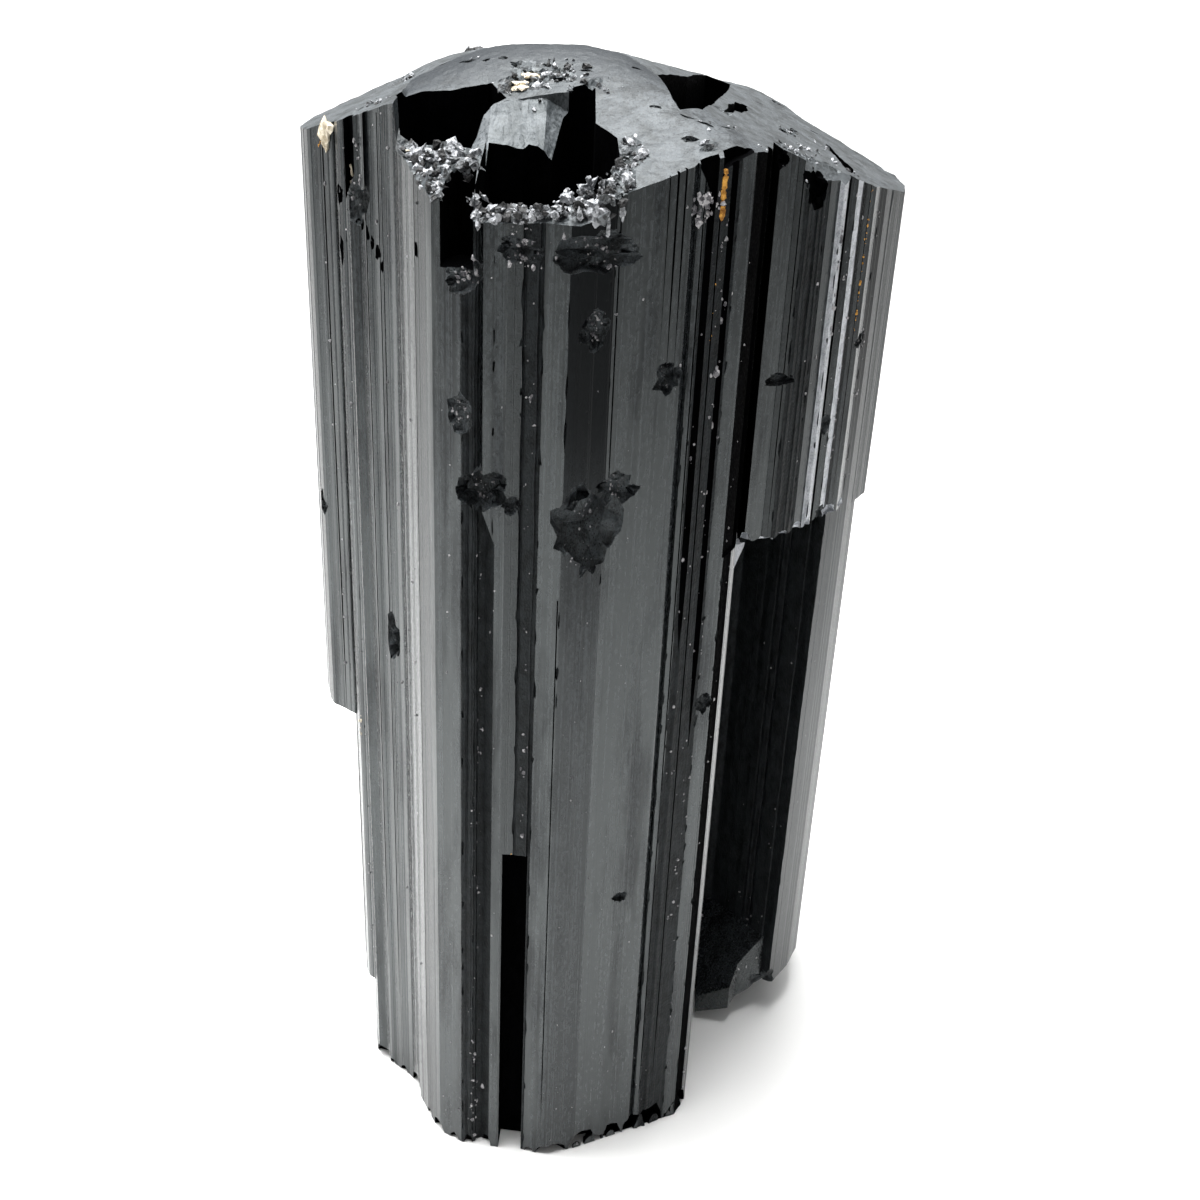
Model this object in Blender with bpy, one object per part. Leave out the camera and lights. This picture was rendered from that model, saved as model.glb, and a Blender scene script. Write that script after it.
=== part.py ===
"""A black tourmaline (schorl) crystal, about 98 mm tall, standing on its broken base.

The crystal is a bundle of parallel prisms grown together into one solid: a full-height core with a
striated outline, two thin plates on its left, a slab on its right that is broken off half-way down,
and a corner prism behind the notch under that slab. Four low faces roof the bundle. The roof is
hollowed where growth stopped short, the faces carry broken pits, and the base edge is chipped.

Lengths are millimetres, measured from the foot of the frontmost edge: x to the right, y away from
the front, z up from the rest face. They become metres, centred on the rest face, in place().
"""

import math
import random

import bmesh
import bpy
from mathutils import Matrix, Vector

MM = 0.001
NAME = "tourmaline_crystal"
SEED = 11

# ---- the bundle: plan outlines of the prisms, counter-clockwise from the left front corner ----

CORE_FRONT = [
    (-18.0, 13.2), (-17.6, 12.2), (-16.8, 12.0), (-16.2, 11.3), (-15.7, 11.0), (-14.9, 10.2),
    (-14.4, 10.1), (-13.8, 9.3), (-12.9, 7.3), (-12.5, 6.5), (-10.7, 3.2), (-10.3, 2.7),
    (-8.3, 1.6), (-7.1, 1.5), (-6.3, 2.0), (-5.8, 1.3), (-4.8, 1.1), (-2.2, 0.9),
    (0.2, 0.4), (1.3, 0.9), (2.7, 1.4), (5.1, 2.6), (7.8, 3.9), (8.1, 4.9),
    (8.3, 4.1), (8.8, 4.2), (11.2, 5.7), (12.4, 6.2), (13.1, 7.4), (13.5, 8.3),
]
NOTCH = [(15.4, 27.2), (16.2, 27.0), (22.4, 20.6)]
CORNER_PRISM = [(24.6, 23.1), (25.7, 25.4), (26.6, 31.4), (25.9, 35.2)]
CORE_BACK = [
    (23.4, 36.9), (22.2, 38.6), (19.4, 39.3), (18.4, 40.4), (17.6, 42.6), (13.6, 44.0),
    (12.4, 43.2), (10.6, 41.4), (8.2, 40.9), (7.4, 38.6), (3.9, 36.6), (3.3, 35.0),
    (1.2, 34.6), (-1.6, 32.9), (-2.2, 31.6), (-6.0, 30.6), (-7.0, 29.2), (-10.2, 28.6),
    (-11.0, 27.4), (-14.2, 26.2), (-15.4, 24.2), (-17.4, 22.6), (-18.3, 20.4),
]
CORE = CORE_FRONT + NOTCH + CORNER_PRISM + CORE_BACK

SLAB = [
    (13.2, 12.4), (14.0, 15.6), (14.7, 13.7), (16.2, 14.6), (17.0, 14.5), (18.4, 15.9),
    (19.9, 17.4), (20.3, 17.3), (21.0, 18.9), (21.6, 19.2), (22.0, 20.3), (23.4, 21.2),
    (23.9, 22.3), (22.9, 25.6), (16.0, 29.0), (12.4, 26.0),
]
SLAB_FOOT = 59.4

OUTER_CORNER = [(24.0, 23.0), (25.3, 24.6), (26.8, 27.0), (27.6, 31.8), (27.1, 34.8), (23.0, 33.0)]
OUTER_CORNER_FOOT = 58.8

PLATE_INNER = [
    (-17.0, 12.8), (-18.3, 13.3), (-18.6, 13.2), (-19.0, 14.4), (-19.7, 17.8), (-18.9, 21.4),
    (-15.0, 20.0),
]
PLATE_INNER_FOOT = 9.6

PLATE_OUTER = [
    (-18.0, 15.0), (-19.2, 14.6), (-19.7, 15.5), (-20.2, 15.2), (-21.4, 16.2), (-21.9, 17.2),
    (-22.7, 20.0), (-22.1, 22.8), (-20.8, 23.6), (-17.2, 25.8), (-13.0, 24.0),
]
PLATE_OUTER_FOOT = 39.8

BOTTOM_RUN_OUT = 4.0
TOP_RUN_OUT = 106.0

# ---- the roof: a point of each face, the way it faces and its dip in degrees ----
# Facing is measured from the front, positive to the right. The front face stops short on the left,
# where a thin wall of the older roof stands up beside it.

ROOF = {
    "front": ((2.7, 1.4, 91.0), -14.0, 23.6),
    "left": ((-8.0, 20.0, 97.6), -90.0, 24.4),
    "right": ((14.5, 15.0, 92.3), 92.0, 24.3),
    "back": ((-3.0, 20.0, 98.2), 180.0, 14.0),
}
FRONT_FACE_LEFT_END = -13.7

# ---- hollows in the roof: plan outline and floor height ----

HOLLOW_LEFT = [
    (-13.3, 9.5), (-11.7, 8.0), (-9.6, 8.5), (-7.6, 7.2), (-7.0, 9.2), (-8.3, 9.8),
    (-7.5, 12.0), (-5.9, 13.1), (-7.2, 15.1), (-10.2, 14.4), (-12.4, 14.8), (-13.4, 14.4),
    (-14.1, 13.2),
]
HOLLOW_MIDDLE = [
    (-7.3, 3.0), (-4.9, 2.5), (-2.0, 2.4), (0.9, 2.8), (2.0, 3.5), (2.7, 5.1),
    (2.4, 7.7), (0.8, 9.4), (0.6, 13.7), (0.0, 14.2), (-1.0, 14.0), (-1.7, 12.7),
    (-2.3, 9.3), (-4.0, 9.9), (-4.4, 9.5), (-6.9, 9.7),
]
HOLLOW_RIGHT = [
    (6.3, 12.1), (6.8, 10.9), (8.5, 12.4), (9.5, 17.6), (11.6, 32.0), (12.1, 37.6),
    (9.8, 36.4), (7.8, 26.4), (5.2, 18.2),
]
HOLLOW_SLOT = [(10.3, 18.3), (11.2, 18.6), (13.0, 27.6), (12.0, 26.8)]
HOLLOWS = {
    "hollow_left": (HOLLOW_LEFT, 87.2),
    "hollow_middle": (HOLLOW_MIDDLE, 82.5),
    "hollow_right": (HOLLOW_RIGHT, 86.4),
    "hollow_slot": (HOLLOW_SLOT, 90.6),
}
RIM_GAP = [(-9.6, -1.0), (-7.2, -1.0), (-7.3, 5.2), (-8.6, 5.8), (-9.4, 4.6)]
RIM_GAP_FLOOR = 85.2
FRONT_RIM = [(-7.25, -1.0), (1.6, -1.0), (1.9, 3.3), (-7.25, 3.6)]
FRONT_RIM_LOSS = 1.3
SLAB_RIM = [(16.4, 12.0), (23.6, 15.0), (22.4, 20.2), (17.0, 17.4)]
SLAB_RIM_POINT = (19.2, 16.4, 89.2)
SLAB_RIM_FACING = 52.0
SLAB_RIM_DIP = 40.0

# The step between the two big hollows keeps less height than the roof and leans more to the front.
STEP = [(-8.8, 8.4), (-1.8, 8.2), (-1.2, 13.4), (-5.8, 12.8), (-7.9, 12.6)]
STEP_POINT = (-5.0, 12.9, 95.0)
STEP_FACING = -6.0
STEP_DIP = 39.0

# ---- the long re-entrant channel low on the front ----

CHANNEL = [(-4.7, -2.0), (-2.3, -2.0), (-2.5, 3.1), (-4.5, 3.3)]
CHANNEL_TOP = 35.0

# ---- broken ground: the rough foot in the notch and the corner broken away below it ----

NOTCH_FOOT = [
    (14.9, 19.7), (18.2, 19.0), (19.0, 20.5), (20.6, 21.2), (22.4, 22.0), (24.4, 23.4),
    (22.0, 27.0), (15.2, 28.4),
]
NOTCH_FOOT_POINT = (19.0, 23.8, 10.0)
NOTCH_FOOT_FACING = -43.0
NOTCH_FOOT_DIP = 50.0
CORNER_BREAK = [(11.0, 12.0), (60.0, 12.0), (60.0, 80.0), (11.0, 80.0)]
CORNER_BREAK_POINT = (12.6, 20.0, 0.0)
CORNER_BREAK_DIP = 22.5

# ---- pits: place on the face, facing in degrees, width, height and depth ----

PITS = [
    (-6.7, 1.6, 68.7, -5, 3.4, 3.2, 1.3),
    (-4.3, 1.1, 67.6, -5, 1.3, 1.2, 0.5),
    (1.6, 0.8, 66.0, 12, 4.6, 6.8, 1.6),
    (1.6, 1.0, 81.6, 12, 2.0, 2.4, 0.7),
    (6.9, 3.5, 77.4, 26, 1.9, 2.3, 0.8),
    (-8.2, 1.6, 74.5, -20, 2.0, 2.4, 0.5),
    (-14.9, 10.2, 50.5, -48, 1.3, 4.0, 1.3),
    (1.6, 0.9, 87.1, 12, 5.6, 2.6, 1.1),
    (5.7, 2.9, 29.5, 26, 1.2, 1.0, 0.5),
    (23.7, 21.8, 75.1, 50, 1.6, 1.1, 0.5),
    (21.2, 18.8, 68.4, 45, 1.2, 1.5, 0.6),
    (16.4, 14.6, 73.8, 25, 2.4, 0.9, 0.5),
    (-3.9, 1.0, 87.0, -4, 2.8, 1.8, 0.6),
    (-17.0, 12.0, 87.2, -20, 1.8, 2.6, 0.6),
    (11.8, 6.0, 48.0, 30, 1.3, 1.8, 0.5),
    (22.3, 20.3, 3.8, -25, 3.4, 3.6, 1.5),
    (-21.6, 16.6, 60.0, -60, 1.2, 1.8, 0.5),
    (27.5, 30.6, 70.0, 84, 1.8, 3.0, 0.7),
    (26.4, 30.0, 31.0, 84, 2.2, 2.8, 0.8),
    (11.4, 42.2, 62.0, 154, 3.4, 4.4, 1.2),
    (0.0, 34.0, 40.0, 152, 4.2, 3.0, 1.1),
    (-12.6, 26.9, 71.0, -160, 3.0, 4.8, 1.2),
    (-16.5, 23.4, 24.0, -140, 2.6, 3.4, 1.0),
]
PITS_BESIDE = [
    (3.7, 1.8, 69.0, 24, 3.2, 2.3, 1.0),
    (-8.0, 1.6, 84.9, -20, 3.0, 2.4, 0.9),
    (21.8, 19.4, 59.8, 45, 1.5, 1.6, 0.6),
    (8.0, 39.9, 57.6, 160, 2.6, 3.0, 0.9),
]

# ---- chips along the base edge: place, facing, width and height ----

BASE_CHIPS = [
    (-17.3, 12.0, -20, 2.4, 1.4),
    (-13.2, 8.2, -60, 2.6, 1.8),
    (-10.6, 3.0, -55, 1.8, 1.2),
    (-6.0, 1.4, -6, 1.6, 1.0),
    (0.6, 0.5, 8, 3.2, 1.2),
    (4.6, 2.3, 26, 2.2, 0.9),
    (8.4, 4.2, 26, 2.6, 1.8),
    (13.0, 7.0, 50, 2.8, 2.4),
    (11.4, 42.3, 140, 3.4, 1.4),
    (4.0, 36.6, 152, 5.0, 2.4),
    (-6.4, 29.9, 150, 3.6, 1.6),
    (-14.6, 25.4, -150, 4.6, 2.6),
    (-18.2, 18.2, -96, 3.0, 1.6),
]

# ---- rubble: rows of small broken lumps still fused to the rim ----
# Plan start and end of each row, number of lumps, their mean size and how far below the roof.

RUBBLE_ROWS = [
    ((-12.2, 7.0), (-8.6, 6.9), 4, 1.4, 0.1),
    ((-11.9, 5.7), (-10.3, 3.6), 3, 1.2, 0.1),
    ((-6.6, 1.7), (1.0, 1.7), 6, 1.2, FRONT_RIM_LOSS + 0.1),
    ((2.5, 2.6), (3.7, 7.2), 5, 1.1, 0.1),
    ((-5.9, 14.1), (-2.4, 14.3), 4, 1.1, 0.1),
    ((15.0, 15.0), (16.2, 15.7), 2, 1.0, 0.1),
    ((18.2, 18.6), (21.8, 20.8), 3, 1.0, 0.1),
    ((17.6, 30.0), (21.0, 28.0), 3, 1.0, 0.1),
]


def outline_centre(outlines):
    """Middle of the plan box around every prism of the bundle."""
    xs = [x for outline in outlines for x, _ in outline]
    ys = [y for outline in outlines for _, y in outline]
    return (min(xs) + max(xs)) / 2, (min(ys) + max(ys)) / 2


CENTRE_X, CENTRE_Y = outline_centre([CORE, SLAB, OUTER_CORNER, PLATE_INNER, PLATE_OUTER])


def place(x, y, z):
    """Turns millimetres from the front foot into metres from the middle of the rest face."""
    return Vector(((x - CENTRE_X) * MM, (y - CENTRE_Y) * MM, z * MM))


def clear_scene():
    for old in list(bpy.data.objects):
        bpy.data.objects.remove(old, do_unlink=True)


def schorl_material():
    material = bpy.data.materials.new("schorl")
    material.use_nodes = True
    shader = material.node_tree.nodes["Principled BSDF"]
    shader.inputs["Base Color"].default_value = (0.008, 0.008, 0.009, 1.0)
    shader.inputs["Roughness"].default_value = 0.16
    shader.inputs["Metallic"].default_value = 0.0
    shader.inputs["IOR"].default_value = 1.64
    return material


def add_object(name, mesh_builder, helper=True):
    """Links a mesh object; helpers are only used by the crystal's booleans."""
    mesh = bpy.data.meshes.new(name)
    bmesh.ops.recalc_face_normals(mesh_builder, faces=mesh_builder.faces)
    mesh_builder.to_mesh(mesh)
    mesh_builder.free()
    thing = bpy.data.objects.new(name, mesh)
    bpy.context.scene.collection.objects.link(thing)
    if helper:
        thing.hide_render = True
        thing.display_type = "WIRE"
    return thing


def as_height(height):
    """A height given as a number holds at every point of a plan."""
    if callable(height):
        return height
    return lambda x, y: height


def prism(name, outline, low, high, helper=True):
    """Upright prism over a plan outline; low and high are heights or sloping height functions."""
    low, high = as_height(low), as_height(high)
    shape = bmesh.new()
    bottom = [shape.verts.new(place(x, y, low(x, y))) for x, y in outline]
    top = [shape.verts.new(place(x, y, high(x, y))) for x, y in outline]
    shape.faces.new(list(reversed(bottom)))
    shape.faces.new(top)
    for i in range(len(outline)):
        j = (i + 1) % len(outline)
        shape.faces.new((bottom[i], bottom[j], top[j], top[i]))
    return add_object(name, shape, helper)


def sloping(point, facing, dip):
    """Height function of a plane through a point, falling towards its facing direction."""
    x0, y0, z0 = point
    fall = math.tan(math.radians(dip))
    across = math.sin(math.radians(facing)) * fall
    towards = -math.cos(math.radians(facing)) * fall
    return lambda x, y: z0 - across * (x - x0) - towards * (y - y0)


def boolean(target, other, operation):
    modifier = target.modifiers.new(other.name, "BOOLEAN")
    modifier.operation = operation
    modifier.solver = "EXACT"
    modifier.object = other


def roof_height(x, y):
    """Height of the unbroken roof over a point of the plan."""
    return min(sloping(*face)(x, y) for face in ROOF.values())


def roof_cutter(face):
    """Everything above one roof face, as a slab wide enough to pass over the whole bundle."""
    point, facing, dip = ROOF[face]
    height = sloping(point, facing, dip)
    left = FRONT_FACE_LEFT_END if face == "front" else -60.0
    square = [(left, -40.0), (60.0, -40.0), (60.0, 80.0), (left, 80.0)]
    return prism(f"above_{face}_face", square, height, lambda x, y: height(x, y) + 90.0)


def lump(shape, centre, half_size, facing, rng, roughness=0.22):
    """Adds one jagged convex lump, wide, deep and tall by half_size, turned to its facing."""
    turn = Matrix.Rotation(math.radians(facing), 3, "Z")
    made = bmesh.ops.create_icosphere(shape, subdivisions=1, radius=1.0)["verts"]
    for vert in made:
        reach = 1.0 + roughness * rng.uniform(-1.0, 1.0)
        offset = Vector([vert.co[axis] * half_size[axis] * reach for axis in range(3)])
        vert.co = centre + turn @ offset * MM


def pit_cutters(name, pits, rng):
    shape = bmesh.new()
    for x, y, z, facing, width, height, depth in pits:
        lump(shape, place(x, y, z), (width / 2, depth, height / 2), facing, rng)
    return add_object(name, shape)


def base_chip_cutters(rng):
    """Chips bite the rest edge from outside, deeper along the edge than up the face."""
    shape = bmesh.new()
    for x, y, facing, width, height in BASE_CHIPS:
        lump(shape, place(x, y, 0.0), (width / 2, 0.45 * width, height), facing, rng)
    return add_object("base_chips", shape)


def rubble(rng):
    shape = bmesh.new()
    for start, end, count, size, below_roof in RUBBLE_ROWS:
        start, end = Vector(start), Vector(end)
        for i in range(count):
            x, y = start.lerp(end, i / (count - 1))
            y += rng.uniform(-0.25, 0.25)
            half = [0.45 * size * rng.uniform(0.75, 1.1) for _ in range(3)]
            spot = place(x, y, roof_height(x, y) - below_roof)
            lump(shape, spot, half, rng.uniform(0, 360), rng, 0.3)
    return add_object("rubble", shape)


def build_bundle(crystal):
    """Joins the plates, the slab and the corner prism to the core, each down to its own end."""
    members = {
        "slab": (SLAB, SLAB_FOOT),
        "outer_corner": (OUTER_CORNER, OUTER_CORNER_FOOT),
        "plate_inner": (PLATE_INNER, PLATE_INNER_FOOT),
        "plate_outer": (PLATE_OUTER, PLATE_OUTER_FOOT),
    }
    for step, (name, (outline, foot)) in enumerate(members.items()):
        boolean(crystal, prism(name, outline, foot, TOP_RUN_OUT + 1.0 + step), "UNION")
    foot_top = sloping(NOTCH_FOOT_POINT, NOTCH_FOOT_FACING, NOTCH_FOOT_DIP)
    boolean(crystal, prism("notch_foot", NOTCH_FOOT, -3.0, foot_top), "UNION")


def cut_ends(crystal):
    """Roofs the bundle, levels the rest face and breaks the right corner away above it."""
    for face in ROOF:
        boolean(crystal, roof_cutter(face), "DIFFERENCE")
    square = [(-60.0, -40.0), (60.0, -40.0), (60.0, 80.0), (-60.0, 80.0)]
    boolean(crystal, prism("below_rest_face", square, -30.0, 0.0), "DIFFERENCE")
    rise = sloping(CORNER_BREAK_POINT, -90.0, CORNER_BREAK_DIP)
    boolean(crystal, prism("corner_break", CORNER_BREAK, -20.0, rise), "DIFFERENCE")


def hollow_out(crystal):
    for name, (outline, floor) in HOLLOWS.items():
        boolean(crystal, prism(name, outline, floor, TOP_RUN_OUT), "DIFFERENCE")
    step_top = sloping(STEP_POINT, STEP_FACING, STEP_DIP)
    boolean(crystal, prism("step_top", STEP, step_top, TOP_RUN_OUT), "DIFFERENCE")
    boolean(crystal, prism("rim_gap", RIM_GAP, RIM_GAP_FLOOR, TOP_RUN_OUT), "DIFFERENCE")
    point, facing, dip = ROOF["front"]
    lowered = sloping((point[0], point[1], point[2] - FRONT_RIM_LOSS), facing, dip)
    boolean(crystal, prism("front_rim", FRONT_RIM, lowered, TOP_RUN_OUT), "DIFFERENCE")
    chamfer = sloping(SLAB_RIM_POINT, SLAB_RIM_FACING, SLAB_RIM_DIP)
    boolean(crystal, prism("slab_rim", SLAB_RIM, chamfer, TOP_RUN_OUT), "DIFFERENCE")
    boolean(crystal, prism("channel", CHANNEL, -5.0, CHANNEL_TOP), "DIFFERENCE")


def break_surface(crystal):
    rng = random.Random(SEED)
    boolean(crystal, rubble(rng), "UNION")
    boolean(crystal, pit_cutters("pits", PITS, rng), "DIFFERENCE")
    boolean(crystal, pit_cutters("pits_beside", PITS_BESIDE, rng), "DIFFERENCE")
    boolean(crystal, base_chip_cutters(rng), "DIFFERENCE")


def build_crystal():
    crystal = prism(NAME, CORE, -BOTTOM_RUN_OUT, TOP_RUN_OUT, helper=False)
    crystal.data.materials.append(schorl_material())
    build_bundle(crystal)
    cut_ends(crystal)
    hollow_out(crystal)
    break_surface(crystal)


clear_scene()
build_crystal()
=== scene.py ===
import math
import random

import bmesh
import bpy
from mathutils import Matrix, Vector, noise
from mathutils.bvhtree import BVHTree


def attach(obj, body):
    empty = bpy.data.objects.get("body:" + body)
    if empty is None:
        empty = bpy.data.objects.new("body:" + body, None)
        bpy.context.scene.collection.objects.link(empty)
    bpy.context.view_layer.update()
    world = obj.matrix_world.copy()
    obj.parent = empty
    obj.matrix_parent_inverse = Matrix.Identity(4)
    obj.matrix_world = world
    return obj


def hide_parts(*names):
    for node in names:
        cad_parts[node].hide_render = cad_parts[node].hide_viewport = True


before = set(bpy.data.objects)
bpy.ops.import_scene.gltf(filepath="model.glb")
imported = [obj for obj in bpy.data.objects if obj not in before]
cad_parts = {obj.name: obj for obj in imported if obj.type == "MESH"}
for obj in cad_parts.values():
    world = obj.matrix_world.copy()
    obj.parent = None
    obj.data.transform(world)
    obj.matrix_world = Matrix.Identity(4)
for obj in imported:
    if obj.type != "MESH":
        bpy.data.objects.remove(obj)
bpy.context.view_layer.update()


# ==== studio: pale floor, soft light and the camera ====
# A wide matt white board carries the crystal. A small softbox hangs over it and lights a pool of the
# board round its foot, which the black faces mirror. A large one lights the board behind, and a third
# stands on the left for the left flank to mirror.


def linear(hex_colour):
    """sRGB hex to a linear RGBA tuple."""
    channels = [int(hex_colour[i:i + 2], 16) / 255 for i in (0, 2, 4)]
    straight = [c / 12.92 if c <= 0.04045 else ((c + 0.055) / 1.055) ** 2.4 for c in channels]
    return (*straight, 1.0)


def new_material(name):
    """An empty Principled material: returns the material, its tree and its shader."""
    material = bpy.data.materials.new(name)
    material.use_nodes = True
    return material, material.node_tree, material.node_tree.nodes["Principled BSDF"]


def fill(tree, made, settings):
    """Sets a node's properties and inputs; an input that is given another node's socket is linked."""
    for key, value in settings.items():
        if isinstance(value, bpy.types.NodeSocket):
            tree.links.new(value, made.inputs[key])
        elif isinstance(key, int) or key in made.inputs:
            made.inputs[key].default_value = value
        else:
            setattr(made, key, value)


def node(tree, kind, settings=None):
    """Adds a node with its settings and links: returns its outputs."""
    made = tree.nodes.new("ShaderNode" + kind)
    fill(tree, made, settings or {})
    return made.outputs


FLOOR_HALF = 3.0
FLOOR_DROP = 0.00005

floor_mesh = bpy.data.meshes.new("studio_floor")
corners = [(x * FLOOR_HALF, y * FLOOR_HALF, 0) for x, y in ((-1, -1), (1, -1), (1, 1), (-1, 1))]
floor_mesh.from_pydata(corners, [], [(0, 1, 2, 3)])
floor = bpy.data.objects.new("studio_floor", floor_mesh)
floor.location.z = -FLOOR_DROP
bpy.context.scene.collection.objects.link(floor)
# Matt emulsion paint: barely any gloss, very faintly clouded.
material, tree, shader = new_material("matt_white_painted_board")
on_board = node(tree, "TexCoord")["Object"]
mottle = node(tree, "TexNoise", {"Scale": 6.0, "Detail": 3.0, "Vector": on_board})["Fac"]
tint = node(tree, "Mix", {"data_type": "RGBA", 0: mottle, 6: linear("efefee"), 7: linear("f6f6f5")})[2]
fill(tree, shader, {"Base Color": tint, "Roughness": 0.9, "Specular IOR Level": 0.1})
floor_mesh.materials.append(material)

ROOM_FRONT_LOW = 0.10
ROOM_BACK_HIGH = 0.55
WHITE = (1.0, 1.0, 1.0, 1.0)

room = bpy.data.worlds.new("dim_pale_room")
room.use_nodes = True
tree = room.node_tree
heading = node(tree, "SeparateXYZ", {"Vector": node(tree, "TexCoord")["Generated"]})
back = node(tree, "Math", {"operation": "MULTIPLY", 0: heading["Y"], 1: 0.5})[0]
rise = node(tree, "Math", {"operation": "ADD", 0: heading["Z"], 1: back})[0]
span = {"From Min": -0.5, "From Max": 1.1, "To Min": ROOM_FRONT_LOW, "To Max": ROOM_BACK_HIGH}
glow = node(tree, "MapRange", {**span, "Value": rise})["Result"]
walls = node(tree, "Background", {"Color": WHITE, "Strength": glow})[0]
backdrop = node(tree, "Background", {"Color": WHITE, "Strength": 1.0})[0]
seen_directly = node(tree, "LightPath")["Is Camera Ray"]
both = node(tree, "MixShader", {0: seen_directly, 1: walls, 2: backdrop})[0]
fill(tree, tree.nodes["World Output"], {"Surface": both})
bpy.context.scene.world = room

# Softboxes: centre, the point they face, size, watts and the spread of the beam in degrees.
SOFTBOXES = {
    "softbox_over_crystal": ((-0.05, 0.02, 0.32), (-0.05, 0.02, 0.0), (0.20, 0.20), 0.85, 100.0),
    "softbox_behind": ((-0.12, 0.95, 0.90), (-0.12, 0.90, 0.0), (1.6, 1.2), 16.0, 120.0),
    "softbox_left": ((-0.52, 0.06, 0.42), (-0.36, 0.06, 0.0), (0.34, 0.40), 1.3, 110.0),
}
for name, (centre, aim, size, watts, spread) in SOFTBOXES.items():
    lamp = bpy.data.lights.new(name, "AREA")
    lamp.shape = "RECTANGLE"
    lamp.size, lamp.size_y = size
    lamp.energy = watts
    lamp.spread = math.radians(spread)
    holder = bpy.data.objects.new(name, lamp)
    holder.location = centre
    holder.rotation_euler = (Vector(aim) - Vector(centre)).to_track_quat("-Z", "Y").to_euler()
    holder.visible_camera = False
    bpy.context.scene.collection.objects.link(holder)

CAMERA_PLACE = (0.000265, -0.124504, 0.114927)
CAMERA_PITCH = 28.0
CAMERA_ROLL = 2.72
SENSOR_WIDTH = 36.0
LENS = 45.35
NEAREST_SEEN = 0.005

camera = bpy.data.objects.new("camera", bpy.data.cameras.new("camera"))
camera.data.sensor_width = SENSOR_WIDTH
camera.data.lens = LENS
camera.data.clip_start = NEAREST_SEEN
camera.location = CAMERA_PLACE
tilt = Matrix.Rotation(math.radians(90.0 - CAMERA_PITCH), 4, "X")
camera.rotation_euler = (tilt @ Matrix.Rotation(math.radians(CAMERA_ROLL), 4, "Z")).to_euler()
bpy.context.scene.collection.objects.link(camera)
bpy.context.scene.camera = camera
bpy.context.scene.view_settings.view_transform = "Standard"


# ==== the crystal: one black schorl bundle, grown together ====
# The real piece is a single crystal of parallel prisms with lengthwise growth lines, roofed by low
# faces, hollowed at the top and broken off at the foot. It stands loose on its broken base.
# Lengths here are millimetres from the foot of the frontmost edge: x right, y back, z up.

MM = 0.001
PLAN_CENTRE = (2.45, 22.2)
PLAN_LOW, PLAN_HIGH = (-22.69, 0.41), (27.59, 43.99)

# Kinds of surface, in the order of the materials below.
# HOLLOW is painted shade, and SHADED has painted shade near the top.
FACE, FINE, DULL, ETCHED, ROOF, BROKEN, HOLLOW, SHADED, PALE, ROOF_SIDE, FROSTED, CRUMBLY = range(12)
# Growth lines of each kind: pitch along the strip, how far they stand in or out, raggedness of edges.
GROWTH_LINES = {
    FACE: (0.55, 0.012, 0.02), FINE: (0.30, 0.035, 0.03), DULL: (0.34, 0.03, 0.05),
    ETCHED: (0.24, 0.09, 0.10), SHADED: (0.45, 0.02, 0.03), PALE: (0.25, 0.04, 0.08),
    HOLLOW: (0.40, 0.04, 0.05),
}
# Behind this the lines are twice as wide apart.
BACK_FROM = 26.0
HALF_RISER = 0.03
NARROWEST_TREAD = 0.04

# Plan outlines: each corner, and the kind of the strip that starts there.
# Strips of the kinds HOLLOW and SHADED carry that painted shade.
CORE = [
    (-18, 13.2, FINE), (-17.6, 12.2, FACE), (-16.8, 12, FINE), (-16.2, 11.3, FINE), (-15.7, 11, FINE),
    (-14.9, 10.3, FINE), (-14.2, 9.8, FINE), (-13.8, 9.3, FINE), (-12.9, 7.3, FACE), (-12.5, 6.5, FINE),
    (-11.8, 5.2, DULL), (-10.7, 3.2, FACE), (-10.3, 2.7, FACE), (-8.15, 1.58, ETCHED), (-7.1, 1.5, ETCHED),
    (-6.75, 1.85, FACE), (-6.5, 1.38, FACE), (-4.8, 1.1, DULL), (-3.7, 1.05, ETCHED), (-2.2, 0.9, FACE),
    (-0.4, 0.5, SHADED), (0.2, 0.4, SHADED), (1.3, 0.9, SHADED), (2.7, 1.4, FACE), (5.1, 2.6, FACE),
    (7.8, 3.9, FINE), (8.1, 4.4, FACE), (8.3, 4.1, FACE), (8.8, 4.2, ETCHED), (11.2, 5.7, FINE),
    (12.4, 6.2, HOLLOW), (13.1, 7.4, SHADED), (13.5, 8.3, SHADED), (15.4, 27.2, ETCHED), (16.2, 27, ETCHED),
    (22.4, 20.6, SHADED), (24.6, 23.1, DULL), (25.7, 25.4, DULL), (26.6, 31.4, FINE), (25.9, 35.2, FINE),
    (23.4, 36.9, FINE), (22.2, 38.6, FINE), (19.4, 39.3, FACE), (18.4, 40.4, FINE), (17.6, 42.6, FINE),
    (13.6, 44, FACE), (12.4, 43.2, FINE), (10.6, 41.4, ETCHED), (8.2, 40.9, FINE), (7.4, 38.6, FACE),
    (3.9, 36.6, FINE), (3.3, 35, ETCHED), (1.2, 34.6, FINE), (-1.6, 32.9, FACE), (-2.2, 31.6, FINE),
    (-6, 30.6, ETCHED), (-7, 29.2, FINE), (-10.2, 28.6, FACE), (-11, 27.4, FINE), (-14.2, 26.2, FINE),
    (-15.4, 24.2, FACE), (-17.4, 22.6, FINE), (-18.3, 20.4, FINE),
]
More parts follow.
